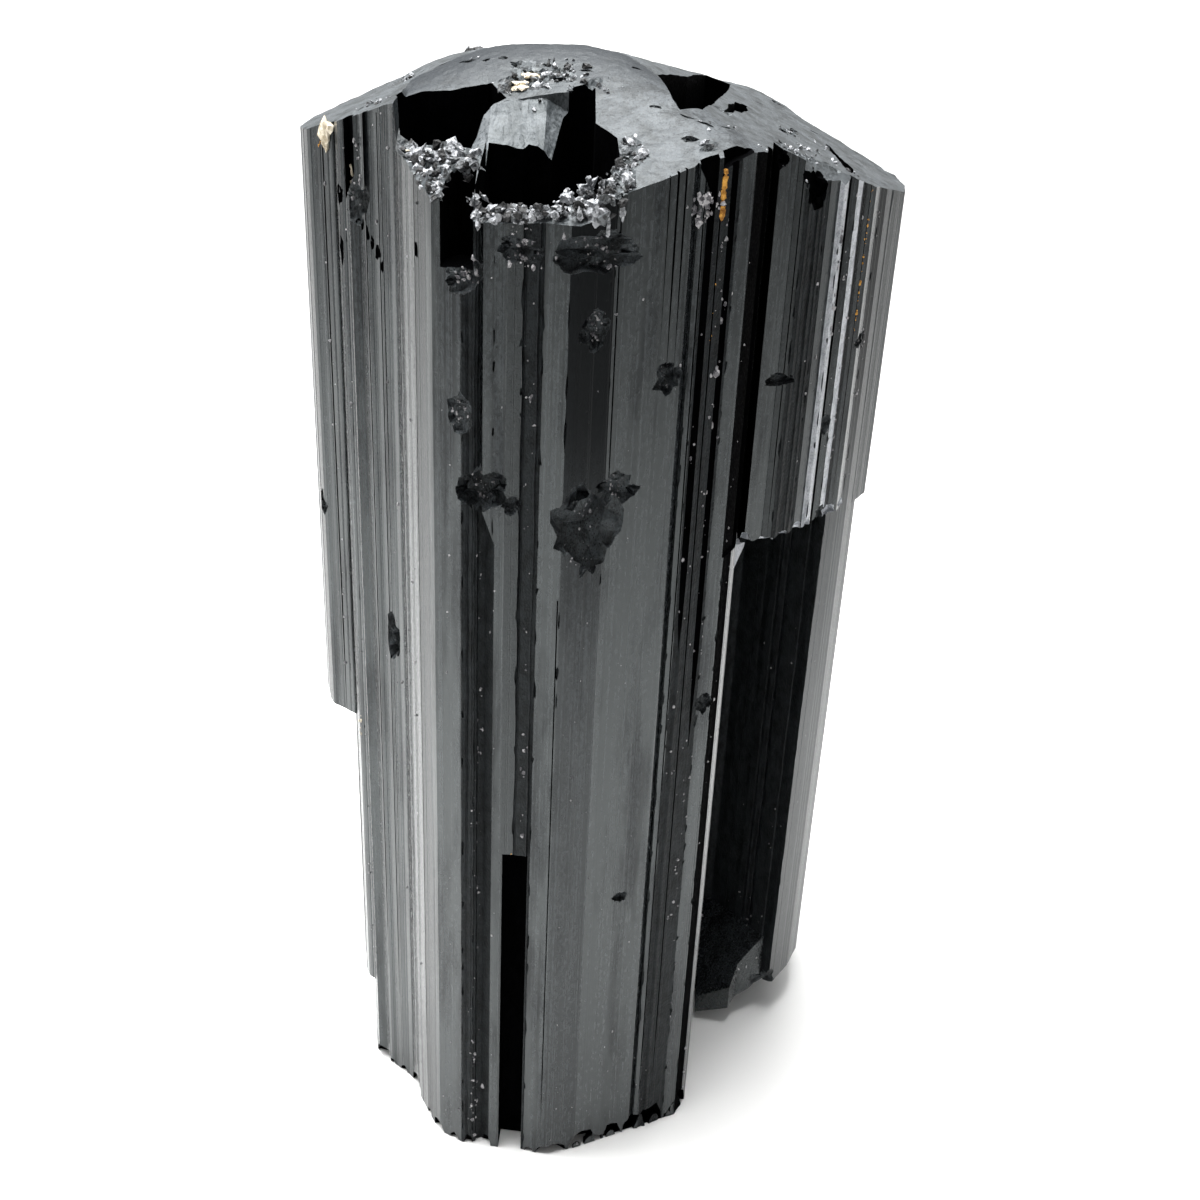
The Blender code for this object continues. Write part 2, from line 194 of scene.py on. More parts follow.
SLAB = [
    (13.2, 12.4, HOLLOW), (14, 15.6, HOLLOW), (14.7, 13.7, FACE), (16.2, 14.6, DULL), (17, 14.5, ETCHED),
    (18.4, 15.9, ETCHED), (19.1, 16.6, FACE), (19.9, 17.4, PALE), (20.3, 17.3, PALE), (20.7, 18.2, HOLLOW),
    (21, 18.9, FACE), (21.6, 19.2, PALE), (22.1, 19.9, ETCHED), (22.5, 20.6, FACE), (23.4, 21.2, FACE),
    (23.9, 22.3, FINE), (22.9, 25.6, FINE), (16, 29, FINE), (12.4, 26, FINE),
]
OUTER_CORNER = [
    (24, 23, FACE), (25.3, 24.6, DULL), (26.8, 27, FINE), (27.6, 31.8, FINE), (27.1, 34.8, FINE),
    (23, 33, FINE),
]
PLATE_INNER = [
    (-17, 12.2, FINE), (-18.6, 13.5, FINE), (-19, 14.4, FINE), (-19.7, 17.8, FINE), (-18.9, 21.4, FINE),
    (-15, 20, FINE),
]
PLATE_OUTER = [
    (-18, 15, FINE), (-19.2, 14.6, FINE), (-20.2, 15.4, FINE), (-21.4, 16.2, DULL), (-21.9, 17.2, DULL),
    (-22.7, 20, DULL), (-22.1, 22.8, FINE), (-20.8, 23.6, FINE), (-17.2, 25.8, FINE), (-13, 24, FINE),
]
# Members grown on to the core: outline and the height of the foot.
MEMBERS = [(SLAB, 59.4), (OUTER_CORNER, 58.8), (PLATE_INNER, 9.6), (PLATE_OUTER, 39.8)]
BOTTOM_RUN_OUT = -4.0
TOP_RUN_OUT = 106.0
RING_GAP = 2.6


def place(x, y, z):
    """Millimetres from the front foot to metres from the middle of the rest face."""
    return Vector(((x - PLAN_CENTRE[0]) * MM, (y - PLAN_CENTRE[1]) * MM, z * MM))


def growth_lines(corners, rng):
    """Breaks each strip of an outline into flat treads with short risers between them.

    Returns a list of (x, y, normal x, normal y, how far the tread stands out, kind).
    """
    lines = []
    for i, (x, y, kind) in enumerate(corners):
        end_x, end_y, _ = corners[(i + 1) % len(corners)]
        length = math.hypot(end_x - x, end_y - y)
        across = ((end_y - y) / length, -(end_x - x) / length)
        pitch, depth, _ = GROWTH_LINES[kind]
        lines.append((x, y, *across, 0.0, kind))
        count = int(length / (pitch * 2.0 if y > BACK_FROM else pitch))
        edges = [0.0, *sorted(rng.uniform(0.06, 0.94) for _ in range(count)), 1.0]
        for start, end in zip(edges, edges[1:]):
            low, high = start + HALF_RISER / length, end - HALF_RISER / length
            if high - low < NARROWEST_TREAD / length or count == 0:
                continue
            out = rng.uniform(-1.0, 0.6) * depth
            lean = rng.uniform(-0.35, 0.35) * depth
            for t, o in ((low, out + lean), (high, out - lean)):
                lines.append((x + t * (end_x - x), y + t * (end_y - y), *across, o, kind))
    return lines


def skin(shape, rings):
    """Closes a stack of rings of vertices into a solid: returns its ends and its sides, ring by ring."""
    ends, sides = [shape.faces.new(rings[0][::-1]), shape.faces.new(rings[-1])], []
    for lower, upper in zip(rings, rings[1:]):
        for k in range(len(lower)):
            j = (k + 1) % len(lower)
            sides.append(shape.faces.new((lower[k], lower[j], upper[j], upper[k])))
    return ends, sides


def make_object(shape, name="cutter", materials=None):
    """Turns a mesh under construction into an object, of schorl's surfaces or other materials."""
    bmesh.ops.triangulate(shape, faces=shape.faces)
    bmesh.ops.recalc_face_normals(shape, faces=shape.faces)
    mesh = bpy.data.meshes.new(name)
    shape.to_mesh(mesh)
    shape.free()
    for material in materials or SCHORL_SURFACES:
        mesh.materials.append(material)
    thing = bpy.data.objects.new(name, mesh)
    bpy.context.scene.collection.objects.link(thing)
    return thing


def prism(lines, low, high, seed, name="member"):
    """A closed upright prism over growth lines, which swell, fade and wander along its length."""
    shape = bmesh.new()
    steps = max(1, round((high - low) / RING_GAP))
    rings = []
    for step in range(steps + 1):
        z = low + (high - low) * step / steps
        rings.append([])
        for k, (x, y, nx, ny, out, kind) in enumerate(lines):
            gain = 1.0 + 0.7 * noise.noise((k * 0.5, z / 24.0, seed))
            wave = 0.03 * noise.noise((x / 3.0, y / 3.0, z / 30.0 + seed)) if out else 0.0
            ragged = GROWTH_LINES[kind][2] * noise.noise((x / 0.9, y / 0.9, z / 1.3 + seed))
            o = out * gain + wave
            spot_x = min(max(x + nx * o - ny * ragged, PLAN_LOW[0]), PLAN_HIGH[0])
            spot_y = min(max(y + ny * o + nx * ragged, PLAN_LOW[1]), PLAN_HIGH[1])
            rings[-1].append(shape.verts.new(place(spot_x, spot_y, z)))
    ends, sides = skin(shape, rings)
    for k, side in enumerate(sides):
        side.material_index = lines[k % len(lines)][5]
    for end in ends:
        end.material_index = BROKEN
    return make_object(shape, name)


def combine(target, other, operation="DIFFERENCE"):
    """Applies one boolean to target and removes the other object."""
    modifier = target.modifiers.new("join", "BOOLEAN")
    modifier.operation = operation
    modifier.solver = "MANIFOLD"
    modifier.object = other
    bpy.context.view_layer.update()
    made = bpy.data.meshes.new_from_object(target.evaluated_get(bpy.context.evaluated_depsgraph_get()))
    target.modifiers.clear()
    old = target.data
    target.data = made
    bpy.data.meshes.remove(old)
    bpy.data.objects.remove(other, do_unlink=True)
    if not made.polygons:
        raise RuntimeError(f"nothing left after {operation}")


# ---- surfaces of schorl ----
# Black iron tourmaline, refractive index 1.62 to 1.64. Growth faces are glassy with fine lines
# along the length; etched strips are minutely rough; breaks are conchoidal and glassy.

SMOOTH = {"interpolation_type": "SMOOTHSTEP"}
CLOUDY = {"Scale": 1.0, "Detail": 3.0, "Roughness": 0.7}


def along_the_length(tree, across_mm, along_mm):
    """Coordinates in which one unit is across_mm wide and along_mm tall."""
    stretch = (1000.0 / across_mm, 1000.0 / across_mm, 1000.0 / along_mm)
    return node(tree, "Mapping", {"Scale": stretch, "Vector": node(tree, "TexCoord")["Object"]})[0]


def passing(tree, value, low, high, first, second, most=1.0):
    """A colour that passes from first to second, each hex or a socket, as a value goes from low to high."""
    share = node(tree, "MapRange", {**SMOOTH, 0: value, 1: low, 2: high, 4: most})[0]
    first, second = [linear(colour) if isinstance(colour, str) else colour for colour in (first, second)]
    return node(tree, "Mix", {"data_type": "RGBA", 0: share, 6: first, 7: second})[2]


def relief(tree, layers):
    """Adds up height layers, each (socket, mm), into one bump: returns the bent normal."""
    total = 0.0
    for height, depth in layers:
        total = node(tree, "Math", {"operation": "MULTIPLY_ADD", 0: height, 1: depth, 2: total})[0]
    return node(tree, "Bump", {"Distance": MM, "Strength": 1.0, "Height": total})[0]


def grown_face(name, roughness, line_mm, line_depth, tint, shine="f6feff", shaded_above=None):
    """A glassy face with growth lines, a patchy dusty bloom and scattered tiny etch pits.

    Between the two heights in shaded_above, in mm, it passes into painted shade: near-black colour and a dim
    mirror, darkest at the top.
    """
    material, tree, shader = new_material(name)
    patches = along_the_length(tree, 2.4, 16.0)
    cloud = node(tree, "TexNoise", {**CLOUDY, "Roughness": 0.6, "Vector": patches})[0]
    gleam = passing(tree, cloud, 0.42, 0.68, shine, "b4b9bb")
    lengthwise = along_the_length(tree, line_mm, 40.0)
    lines = node(tree, "TexNoise", {"Scale": 1.0, "Detail": 2.0, "Vector": lengthwise})[0]
    specks = along_the_length(tree, 0.26, 0.6)
    dust = node(tree, "TexNoise", {**CLOUDY, "Vector": specks})[0]
    pits = node(tree, "TexVoronoi", {"Scale": 0.4, "Vector": specks})["Distance"]
    pit_floor = node(tree, "MapRange", {**SMOOTH, 0: pits, 1: 0.04, 2: 0.14})[0]
    dull = {**SMOOTH, 0: dust, 1: 0.3, 2: 0.7, 3: roughness * 0.7, 4: roughness * 1.4}
    streaks = node(tree, "Math", {"operation": "MULTIPLY", 0: dust, 1: lines})[0]
    bloom = passing(tree, streaks, 0.16, 0.38, tint, "2d3032")
    if shaded_above:
        # Painted shade: towards the top the colour goes near-black and the mirror dims.
        low, high = [height * MM for height in shaded_above]
        height = node(tree, "SeparateXYZ", {"Vector": node(tree, "TexCoord")["Object"]})["Z"]
        bloom = passing(tree, height, low, high, bloom, "0c0d0e")
        gleam = passing(tree, height, low, high, gleam, "666a6c")
    fill(tree, shader, {
        "Base Color": bloom, "Specular Tint": gleam, "IOR": 1.62,
        "Roughness": node(tree, "MapRange", dull)[0],
        "Normal": relief(tree, [(lines, line_depth), (pit_floor, 0.012), (dust, 0.012)]),
    })
    return material


def rough_face(name, roughness, gloss, grain_mm, depth, dark, pale, front_only=None):
    """Minutely faceted ground: grains tilt at random, so single ones catch the light.

    gloss is its specular level and its IOR: low where powder dulls the shine, and lowest on walls in painted
    shade.
    front_only is where, in mm from the front foot, its pale colour, dust and painted sheen together,
    gives out towards the back, and the bare colour.
    """
    material, tree, shader = new_material(name)
    where = along_the_length(tree, grain_mm, grain_mm * 1.8)
    cells = node(tree, "TexVoronoi", {"Scale": 1.0, "Vector": where})
    facet = node(tree, "SeparateColor", {"Color": cells["Color"]})[0]
    fine = node(tree, "TexNoise", {**CLOUDY, "Scale": 2.2, "Vector": where})[0]
    cloud = node(tree, "TexNoise", {**CLOUDY, "Scale": 0.22, "Roughness": 0.65, "Vector": where})[0]
    dull = {**SMOOTH, 0: fine, 1: 0.3, 2: 0.7, 3: roughness * 0.7, 4: roughness * 1.4}
    both = node(tree, "Math", {"operation": "MULTIPLY", 0: cloud, 1: fine})[0]
    colour = passing(tree, both, 0.15, 0.34, dark, pale)
    if front_only:
        # Painted sheen with the dust: the pale colour lies on the front and gives out towards the back.
        wander = 9.0
        near, far = [(y - PLAN_CENTRE[1] + wander / 2) * MM for y in front_only[0]]
        back = node(tree, "SeparateXYZ", {"Vector": node(tree, "TexCoord")["Object"]})["Y"]
        drift = node(tree, "Math", {"operation": "MULTIPLY_ADD", 0: cloud, 1: wander * MM, 2: back})[0]
        colour = passing(tree, drift, near, far, colour, front_only[1])
    fill(tree, shader, {
        "Base Color": colour, "Specular Tint": linear("f6feff"),
        "Specular IOR Level": gloss[0], "IOR": gloss[1],
        "Roughness": node(tree, "MapRange", dull)[0],
        "Normal": relief(tree, [(facet, depth * 0.3), (cells["Distance"], depth * 0.5), (fine, depth * 0.6)]),
    })
    return material


SCHORL_SURFACES = [
    # Glassy growth faces: black with a soft mirror of the board, greyer where the bloom lies.
    grown_face("schorl_glassy_prism_face", 0.17, 0.16, 0.006, "08090a"),
    grown_face("schorl_finely_lined_prism_face", 0.20, 0.10, 0.010, "0c0d0f"),
    # Closely lined or etched strips: dark, with grains that catch the light one by one.
    rough_face("schorl_dull_lined_strip", 0.34, (0.4, 1.64), 0.14, 0.03, "08090a", "1a1c1e"),
    rough_face("schorl_etched_strip", 0.42, (0.5, 1.24), 0.16, 0.07, "060708", "1e2123"),
    # The front of the roof: a satin mid grey, partly rock dust and partly painted sheen for the light it
    # mirrors, which gives out to black towards the back.
    rough_face(
        "schorl_roof_face_dust_and_painted_sheen", 0.34, (0.14, 1.64), 0.40, 0.04, "1f2224", "484c4f",
        ((12.5, 18.0), "22262a"),
    ),
    # A fresh shell-like break, and hollow walls painted near-black with almost no mirror, as painted shade.
    rough_face("schorl_conchoidal_break", 0.24, (0.4, 1.64), 0.40, 0.05, "0a0b0c", "232628"),
    rough_face("schorl_hollow_wall_painted_shade", 0.80, (0.5, 1.05), 0.30, 0.02, "010101", "040405"),
    # A glassy face whose upper part is painted shade: its colour and its mirror darken towards the top.
    grown_face(
        "schorl_prism_face_painted_shade_near_the_top", 0.18, 0.14, 0.007, "08090a", "cdd3d5", (54.0, 76.0),
    ),
    # Frosted and sugary ground: crushed or healed crystal, grey to nearly white and half matt.
    rough_face("schorl_frosted_seam", 0.30, (0.5, 1.64), 0.12, 0.02, "8d9196", "c2c4ca"),
    rough_face("schorl_roof_face_sugary", 0.40, (0.35, 1.64), 0.30, 0.06, "16191a", "484c4f"),
    rough_face("schorl_frosted_break", 0.34, (0.15, 1.64), 0.50, 0.06, "2c3032", "585c5f"),
    # The crumbly floor of a pit: black, with small grey glints.
    rough_face("schorl_crumbly_pit", 0.36, (0.4, 1.5), 0.20, 0.16, "020203", "33373a"),
]

# ---- the bundle of prisms ----

rng = random.Random(38)
lines = growth_lines(CORE, rng)
crystal = prism(lines, BOTTOM_RUN_OUT, TOP_RUN_OUT, 1.0, "tourmaline_crystal_visual")
for step, (outline, foot) in enumerate(MEMBERS):
    member = prism(growth_lines(outline, rng), foot, TOP_RUN_OUT + 1.0 + step, 5.0 + step)
    combine(crystal, member, "UNION")

# ---- the roof: a point of each face, the way it faces and its dip in degrees ----
# The front face stops short on the left, where a thin wall of the older roof stands up beside it.

FRONT_ROOF, LEFT_ROOF = ((2.7, 1.4, 91.0), -14.0, 23.6), ((-8.0, 20.0, 97.6), -90.0, 24.4)
RIGHT_ROOF, BACK_ROOF = ((14.5, 15.0, 92.3), 92.0, 24.3), ((-3.0, 20.0, 98.2), 180.0, 14.0)
FRONT_FACE_LEFT_END = -13.7
RIDGE_ROUNDING = 1.6
DUST_AND_SHEEN_REACH = 1.7
ROOF_GRID = 0.27
ROOF_SPAN = (-24.0, 29.0, -1.5, 46.0)
CLEAR_ABOVE = 125.0
# Crushed ground round the hollows and along the rim: plan middle and radius.
BROKEN_GROUND = [
    (-12.5, 7.8, 1.2), (-11, 7.1, 1.4), (-9.4, 6.9, 1.4), (-8.1, 5.8, 1), (-11.2, 5.2, 1.3),
    (-10.3, 3.6, 1.2), (2.7, 3.4, 1.1), (3.3, 5.2, 0.9), (3.2, 6.9, 0.7), (2, 1.6, 1.4), (-5.7, 14.7, 1),
    (-4, 15.3, 1.2), (-1.9, 15.6, 0.9), (-4.8, 16.7, 1), (0.4, 14.3, 0.6), (8.8, 6.2, 0.6), (15.6, 15.6, 1),
    (17.2, 16, 0.9), (19.4, 18.4, 0.8), (-16.5, 14.6, 0.8), (16.4, 25.6, 0.8), (10.4, 17.4, 0.7),
    (14, 10.4, 0.7),
]


def outward(facing):
    """Direction in plan of a facing in degrees: 0 is to the front, 90 to the right."""
    return math.sin(math.radians(facing)), -math.cos(math.radians(facing))


def sloping(point, facing, dip, lowered=0.0):
    """Height function of a plane through a point, or lower by so much, that falls towards its facing."""
    x0, y0, z0 = point[0], point[1], point[2] - lowered
    across, towards = [part * math.tan(math.radians(dip)) for part in outward(facing)]
    return lambda x, y: z0 - across * (x - x0) - towards * (y - y0)


front_plane = sloping(*FRONT_ROOF)
side_planes = [sloping(*face) for face in (LEFT_ROOF, RIGHT_ROOF, BACK_ROOF)]


def soft_low(first, second):
    """The lower of two heights, with the ridge between them rounded over."""
    if abs(first - second) >= RIDGE_ROUNDING:
        return min(first, second)
    return min(first, second) - (RIDGE_ROUNDING - abs(first - second)) ** 2 / (4.0 * RIDGE_ROUNDING)


def in_dust_and_painted_sheen(x, y):
    """The pale grey, dust and painted sheen, lies on the front face and a little way over its ridges."""
    lowest = min(plane(x, y) for plane in side_planes)
    return x > FRONT_FACE_LEFT_END and front_plane(x, y) < lowest + DUST_AND_SHEEN_REACH


def is_broken(x, y):
    """Whether a place lies on crushed ground."""
    return any(math.hypot(x - spot_x, y - spot_y) < radius for spot_x, spot_y, radius in BROKEN_GROUND)


def roof_relief(x, y):
    """Roof height with gentle swells and fine grain, jagged where the ground is broken."""
    left, right, rear = (plane(x, y) for plane in side_planes)
    height = soft_low(soft_low(left, rear), right)
    if x > FRONT_FACE_LEFT_END:
        height = soft_low(front_plane(x, y), height)
    swell = 0.12 * noise.noise((x / 5.0, y / 5.0, 3.0))
    ripple = 0.07 * noise.noise((x / 1.7, y / 1.7, 5.0))
    grain = 0.05 * noise.noise((x / 0.6, y / 0.6, 7.0))
    if is_broken(x, y):
        grain += 0.45 * noise.noise((x / 0.55, y / 0.55, 9.0)) - 0.12
    return height + swell + ripple + grain - 0.06


def roof_kind(x, y):
    """Kind of surface at a place on the roof."""
    if is_broken(x, y):
        chance = noise.noise((x / 0.5, y / 0.5, 13.0))
        return FROSTED if chance > 0.12 else CRUMBLY if chance < -0.08 else ROOF_SIDE
    return ROOF if in_dust_and_painted_sheen(x, y) else ROOF_SIDE


def above_roof():
    """Everything above the roof, as a closed solid with a finely gridded underside."""
    x_low, x_high, y_low, y_high = ROOF_SPAN
    columns, rows = round((x_high - x_low) / ROOF_GRID), round((y_high - y_low) / ROOF_GRID)
    shape = bmesh.new()
    under, over = {}, {}
    for j in range(rows + 1):
        for i in range(columns + 1):
            x, y = x_low + i * ROOF_GRID, y_low + j * ROOF_GRID
            under[j, i] = shape.verts.new(place(x, y, roof_relief(x, y)))
            if i in (0, columns) or j in (0, rows):
                over[j, i] = shape.verts.new(place(x, y, CLEAR_ABOVE))
    for j in range(rows):
        for i in range(columns):
            face = shape.faces.new((under[j, i], under[j + 1, i], under[j + 1, i + 1], under[j, i + 1]))
            face.material_index = roof_kind(x_low + (i + 0.5) * ROOF_GRID, y_low + (j + 0.5) * ROOF_GRID)
    rim = [(0, i) for i in range(columns)] + [(j, columns) for j in range(rows)]
    rim += [(rows, i) for i in range(columns, 0, -1)] + [(j, 0) for j in range(rows, 0, -1)]
    for here, after in zip(rim, rim[1:] + rim[:1]):
        shape.faces.new((under[here], under[after], over[after], over[here]))
    shape.faces.new([over[here] for here in rim])
    return make_object(shape)


combine(crystal, above_roof())


def cutter(outline, low, kind, high=TOP_RUN_OUT, facets=0.0):
    """A prism over a plan outline; low and high are heights or height functions.

    With facets, in mm, its underside is broken up into small facets that stand in and out by so much.
    """
    shape = bmesh.new()
    rings = []
    for level in (low, high):
        heights = [level(x, y) if callable(level) else level for x, y in outline]
        rings.append([shape.verts.new(place(x, y, z)) for (x, y), z in zip(outline, heights)])
    (under, _), _ = skin(shape, rings)
    if facets:
        under = bmesh.ops.triangulate(shape, faces=[under])["faces"]
        edges = list({edge for face in under for edge in face.edges})
        bmesh.ops.subdivide_edges(shape, edges=edges, cuts=4, use_grid_fill=True)
        for vert in shape.verts:
            if vert not in rings[1]:
                crumple = noise.noise(vert.co / (1.3 * MM)) + 0.5 * noise.noise(vert.co / (0.5 * MM))
                vert.co.z += facets * crumple * MM
    for face in shape.faces:
        face.material_index = kind
    return make_object(shape)


# A lump's bulges: how many to its radius, and the shares of bulges and of single points in it.
BULGES, BULGE_SHARE, POINT_SHARE = 1.7, 1.4, 0.5


def lump(shape, centre, half_size, facing, rng, roughness=0.2, fineness=2, kind=BROKEN, tumble=0.0):
    """Adds one jagged lump, wide, deep and tall by half_size, turned to its facing and tumbled."""
    turn = Matrix.Rotation(math.radians(facing), 3, "Z")
    for axis in "XY" if tumble else "":
        turn = turn @ Matrix.Rotation(rng.uniform(-tumble, tumble), 3, axis)
    made = bmesh.ops.create_icosphere(shape, subdivisions=fineness, radius=1.0)["verts"]
    seed = Vector([rng.uniform(0, 99) for _ in range(3)])
    for vert in made:
        bulge = BULGE_SHARE * noise.noise(vert.co * BULGES + seed)
        reach = 1.0 + roughness * (bulge + POINT_SHARE * rng.uniform(-1.0, 1.0))
        offset = Vector([vert.co[axis] * half_size[axis] * reach for axis in range(3)])
        vert.co = centre + turn @ offset * MM
    for face in {face for vert in made for face in vert.link_faces}:
        face.material_index = kind


# ---- hollows in the roof, the step between them and the lowered rims ----

HOLLOW_LEFT = [
    (-13.3, 9.5), (-11.7, 8), (-9.6, 8.5), (-7.6, 7.2), (-7, 9.2), (-8.3, 9.8), (-7.5, 12), (-5.9, 13.1),
    (-7.2, 15.1), (-10.2, 14.4), (-12.4, 14.8), (-13.4, 14.4), (-14.1, 13.2),
]
HOLLOW_MIDDLE = [
    (-7.3, 3), (-4.9, 2.5), (-2, 2.4), (0.9, 2.8), (2, 3.5), (2.7, 5.1), (2.4, 7.7), (0.8, 9.4),
    (0.6, 13.7), (0, 14.2), (-1, 14), (-1.7, 12.7), (-2.3, 9.3), (-4, 9.9), (-4.4, 9.5), (-6.9, 9.7),
]
HOLLOW_RIGHT = [
    (6.3, 12.1), (6.8, 10.9), (8.5, 12.4), (9.5, 17.6), (11.6, 32), (12.1, 37.6), (9.8, 36.4), (7.8, 26.4),
    (5.2, 18.2),
]
HOLLOW_SLOT = [
    (10.4, 17.7), (10.9, 18.4), (11.3, 19.6), (11.5, 20.8), (12.1, 21.6), (12.4, 23.4), (12.9, 25.2),
    (12.8, 26.6), (13, 27.5), (12.5, 27.4), (12.2, 26.6), (11.8, 26.2), (11.6, 24.6), (11, 22.4),
    (10.9, 20.4),
]
CORNER_CRACK = [
    (20.4, 30.8), (20.45, 27.8), (20.5, 25), (20.7, 22.6), (21.2, 20.9), (21.6, 22.4), (21.7, 23.6),
    (21.1, 25), (20.75, 28.2),
]
STEP_CREASES = [-7.0, -5.2, -2.9]
STEP_FALLS = [0.55, 0.16, 0.6]
STEP_CRUMPLE = 0.22
STEP_OUTLINES = [
    [(-8.8, 8.4), (-7, 8.3), (-7, 12.68), (-7.9, 12.6)],
    [(-7, 8.3), (-5.2, 8.3), (-5.2, 12.85), (-5.8, 12.8), (-7, 12.68)],
    [(-5.2, 8.3), (-2.9, 8.25), (-2.9, 13.2), (-5.2, 12.85)],
    [(-2.9, 8.25), (-1.8, 8.2), (-1.2, 13.4), (-2.9, 13.2)],
]
RIM_GAP = [(-10.0, -1.0), (-7.2, -1.0), (-7.3, 5.2), (-8.6, 5.8), (-9.4, 4.6)]
FRONT_RIM = [(-7.25, -1.0), (1.6, -1.0), (1.9, 3.3), (-7.25, 3.6)]
SLAB_RIM = [(16.4, 12.0), (23.6, 15.0), (22.4, 20.2), (17.0, 17.4)]
CHANNEL = [(-4.7, -2.0), (-2.3, -2.0), (-2.5, 3.1), (-4.5, 3.3)]
CHANNEL_TOP = 35.0
ETCHED_EDGE = [(-6.95, 0.4), (-5.6, 0.4), (-5.5, 1.6), (-6.3, 2.2), (-6.8, 2.0)]
STRIP_END_LEFT = [(8.35, 3.4), (9.7, 4.0), (9.5, 5.2), (8.9, 5.0), (8.2, 4.7)]
STRIP_END_RIGHT = [(9.95, 4.2), (12.3, 5.3), (12.1, 7.2), (11.4, 6.5), (10.8, 6.6), (9.8, 5.7)]
# The dark edge: high up beside the slab, the core's edge is cut back and its wall painted black, as painted
# shade.
DARK_EDGE = [(12.2, 5.2), (14.4, 5.2), (14.4, 11.0), (13.4, 11.0), (13.2, 8.4), (12.8, 7.5), (12.3, 6.5)]
LEFT_GROOVE = [(-18.5, 11.6), (-17.15, 11.2), (-17.15, 13.0), (-17.8, 13.9)]
LEFT_SLIT = [(-16.5, 10.6), (-15.9, 10.3), (-15.9, 11.6), (-16.3, 11.9)]
FRONT_RIM_LOSS = 1.3
BELOW_FOOT = -5.0

lowered_front = sloping(*FRONT_ROOF, FRONT_RIM_LOSS)
step_plane = sloping((-5.0, 12.9, 95.0), -6.0, 39.0)
slab_chamfer = sloping((19.2, 16.4, 89.2), 52.0, 40.0)
etched_end = sloping((-6.2, 1.2, 66.0), 90.0, 70.0)
left_end = sloping((9.0, 4.4, 91.0), 110.0, 62.0)
right_end = sloping((11.2, 5.6, 92.9), -70.0, 24.0)
groove_end = sloping((-17.8, 12.0, 87.6), -90.0, 68.0)
slit_end = sloping((-16.2, 11.0, 86.4), -90.0, 75.0)


def step_top(x, y):
    """The step is creased: it falls away to both sides of its brightest facet."""
    left, middle, right = STEP_CREASES
    reaches = (max(0.0, left - x), max(0.0, x - middle), max(0.0, x - right))
    return step_plane(x, y) - sum(fall * reach for fall, reach in zip(STEP_FALLS, reaches))


# Outline, lower end, kind, upper end if that isn't past the top, and how far the underside is crumpled.
# Kind HOLLOW paints a cut's walls near-black: painted shade in the hollows, cracks, gaps, channel, strip ends
# and groove.
CUTS = [
    (HOLLOW_LEFT, 87.2, HOLLOW), (HOLLOW_MIDDLE, 82.5, HOLLOW), (HOLLOW_RIGHT, 86.4, HOLLOW),
    (HOLLOW_SLOT, 90.6, HOLLOW),
    *[(outline, step_top, FROSTED, TOP_RUN_OUT, STEP_CRUMPLE) for outline in STEP_OUTLINES],
    (CORNER_CRACK, 88.2, HOLLOW), (RIM_GAP, 85.2, HOLLOW), (FRONT_RIM, lowered_front, FROSTED),
    (SLAB_RIM, slab_chamfer, ROOF_SIDE), (CHANNEL, BELOW_FOOT, HOLLOW, CHANNEL_TOP),
    (ETCHED_EDGE, BELOW_FOOT, ETCHED, etched_end), (STRIP_END_LEFT, left_end, HOLLOW),
    (STRIP_END_RIGHT, right_end, HOLLOW), (DARK_EDGE, 61.6, HOLLOW), (LEFT_GROOVE, groove_end, HOLLOW),
    (LEFT_SLIT, slit_end, ETCHED),
]
for cut in CUTS:
    combine(crystal, cutter(*cut))

# ---- the foot: rest face, rough ground in the notch and the corner broken away ----

NOTCH_FOOT = [
    (14.9, 19.7), (18.2, 19), (19, 20.5), (20.6, 21.2), (22.4, 22), (24.4, 23.4), (22, 27), (15.2, 28.4),
]
# A bright wedge of wall just under the slab's left end.
SLAB_WEDGE = [(13.0, 8.6), (13.4, 8.4), (14.75, 13.6), (14.3, 15.0), (13.4, 14.0)]
SLAB_WEDGE_FOOT = 59.2
BELOW_REST_FACE = [(-60.0, -40.0), (60.0, -40.0), (60.0, 80.0), (-60.0, 80.0)]
CORNER = [(11.0, 12.0), (60.0, 12.0), (60.0, 80.0), (11.0, 80.0)]
wedge_top = sloping((13.4, 8.4, 61.6), 180.0, 22.0)
notch_ground = sloping((19.0, 23.8, 10.0), -43.0, 50.0)
corner_rise = sloping((12.6, 20.0, 0.0), -90.0, 22.5)

combine(crystal, cutter(SLAB_WEDGE, SLAB_WEDGE_FOOT, PALE, wedge_top), "UNION")
combine(crystal, cutter(NOTCH_FOOT, -3.0, BROKEN, notch_ground), "UNION")
combine(crystal, cutter(BELOW_REST_FACE, -30.0, BROKEN, 0.0))
combine(crystal, cutter(CORNER, -20.0, CRUMBLY, corner_rise))

# ---- grooves: narrow lines between growth strips, their walls painted black as painted shade ----
# Place on the face, facing in degrees, width, depth, lower and upper end.

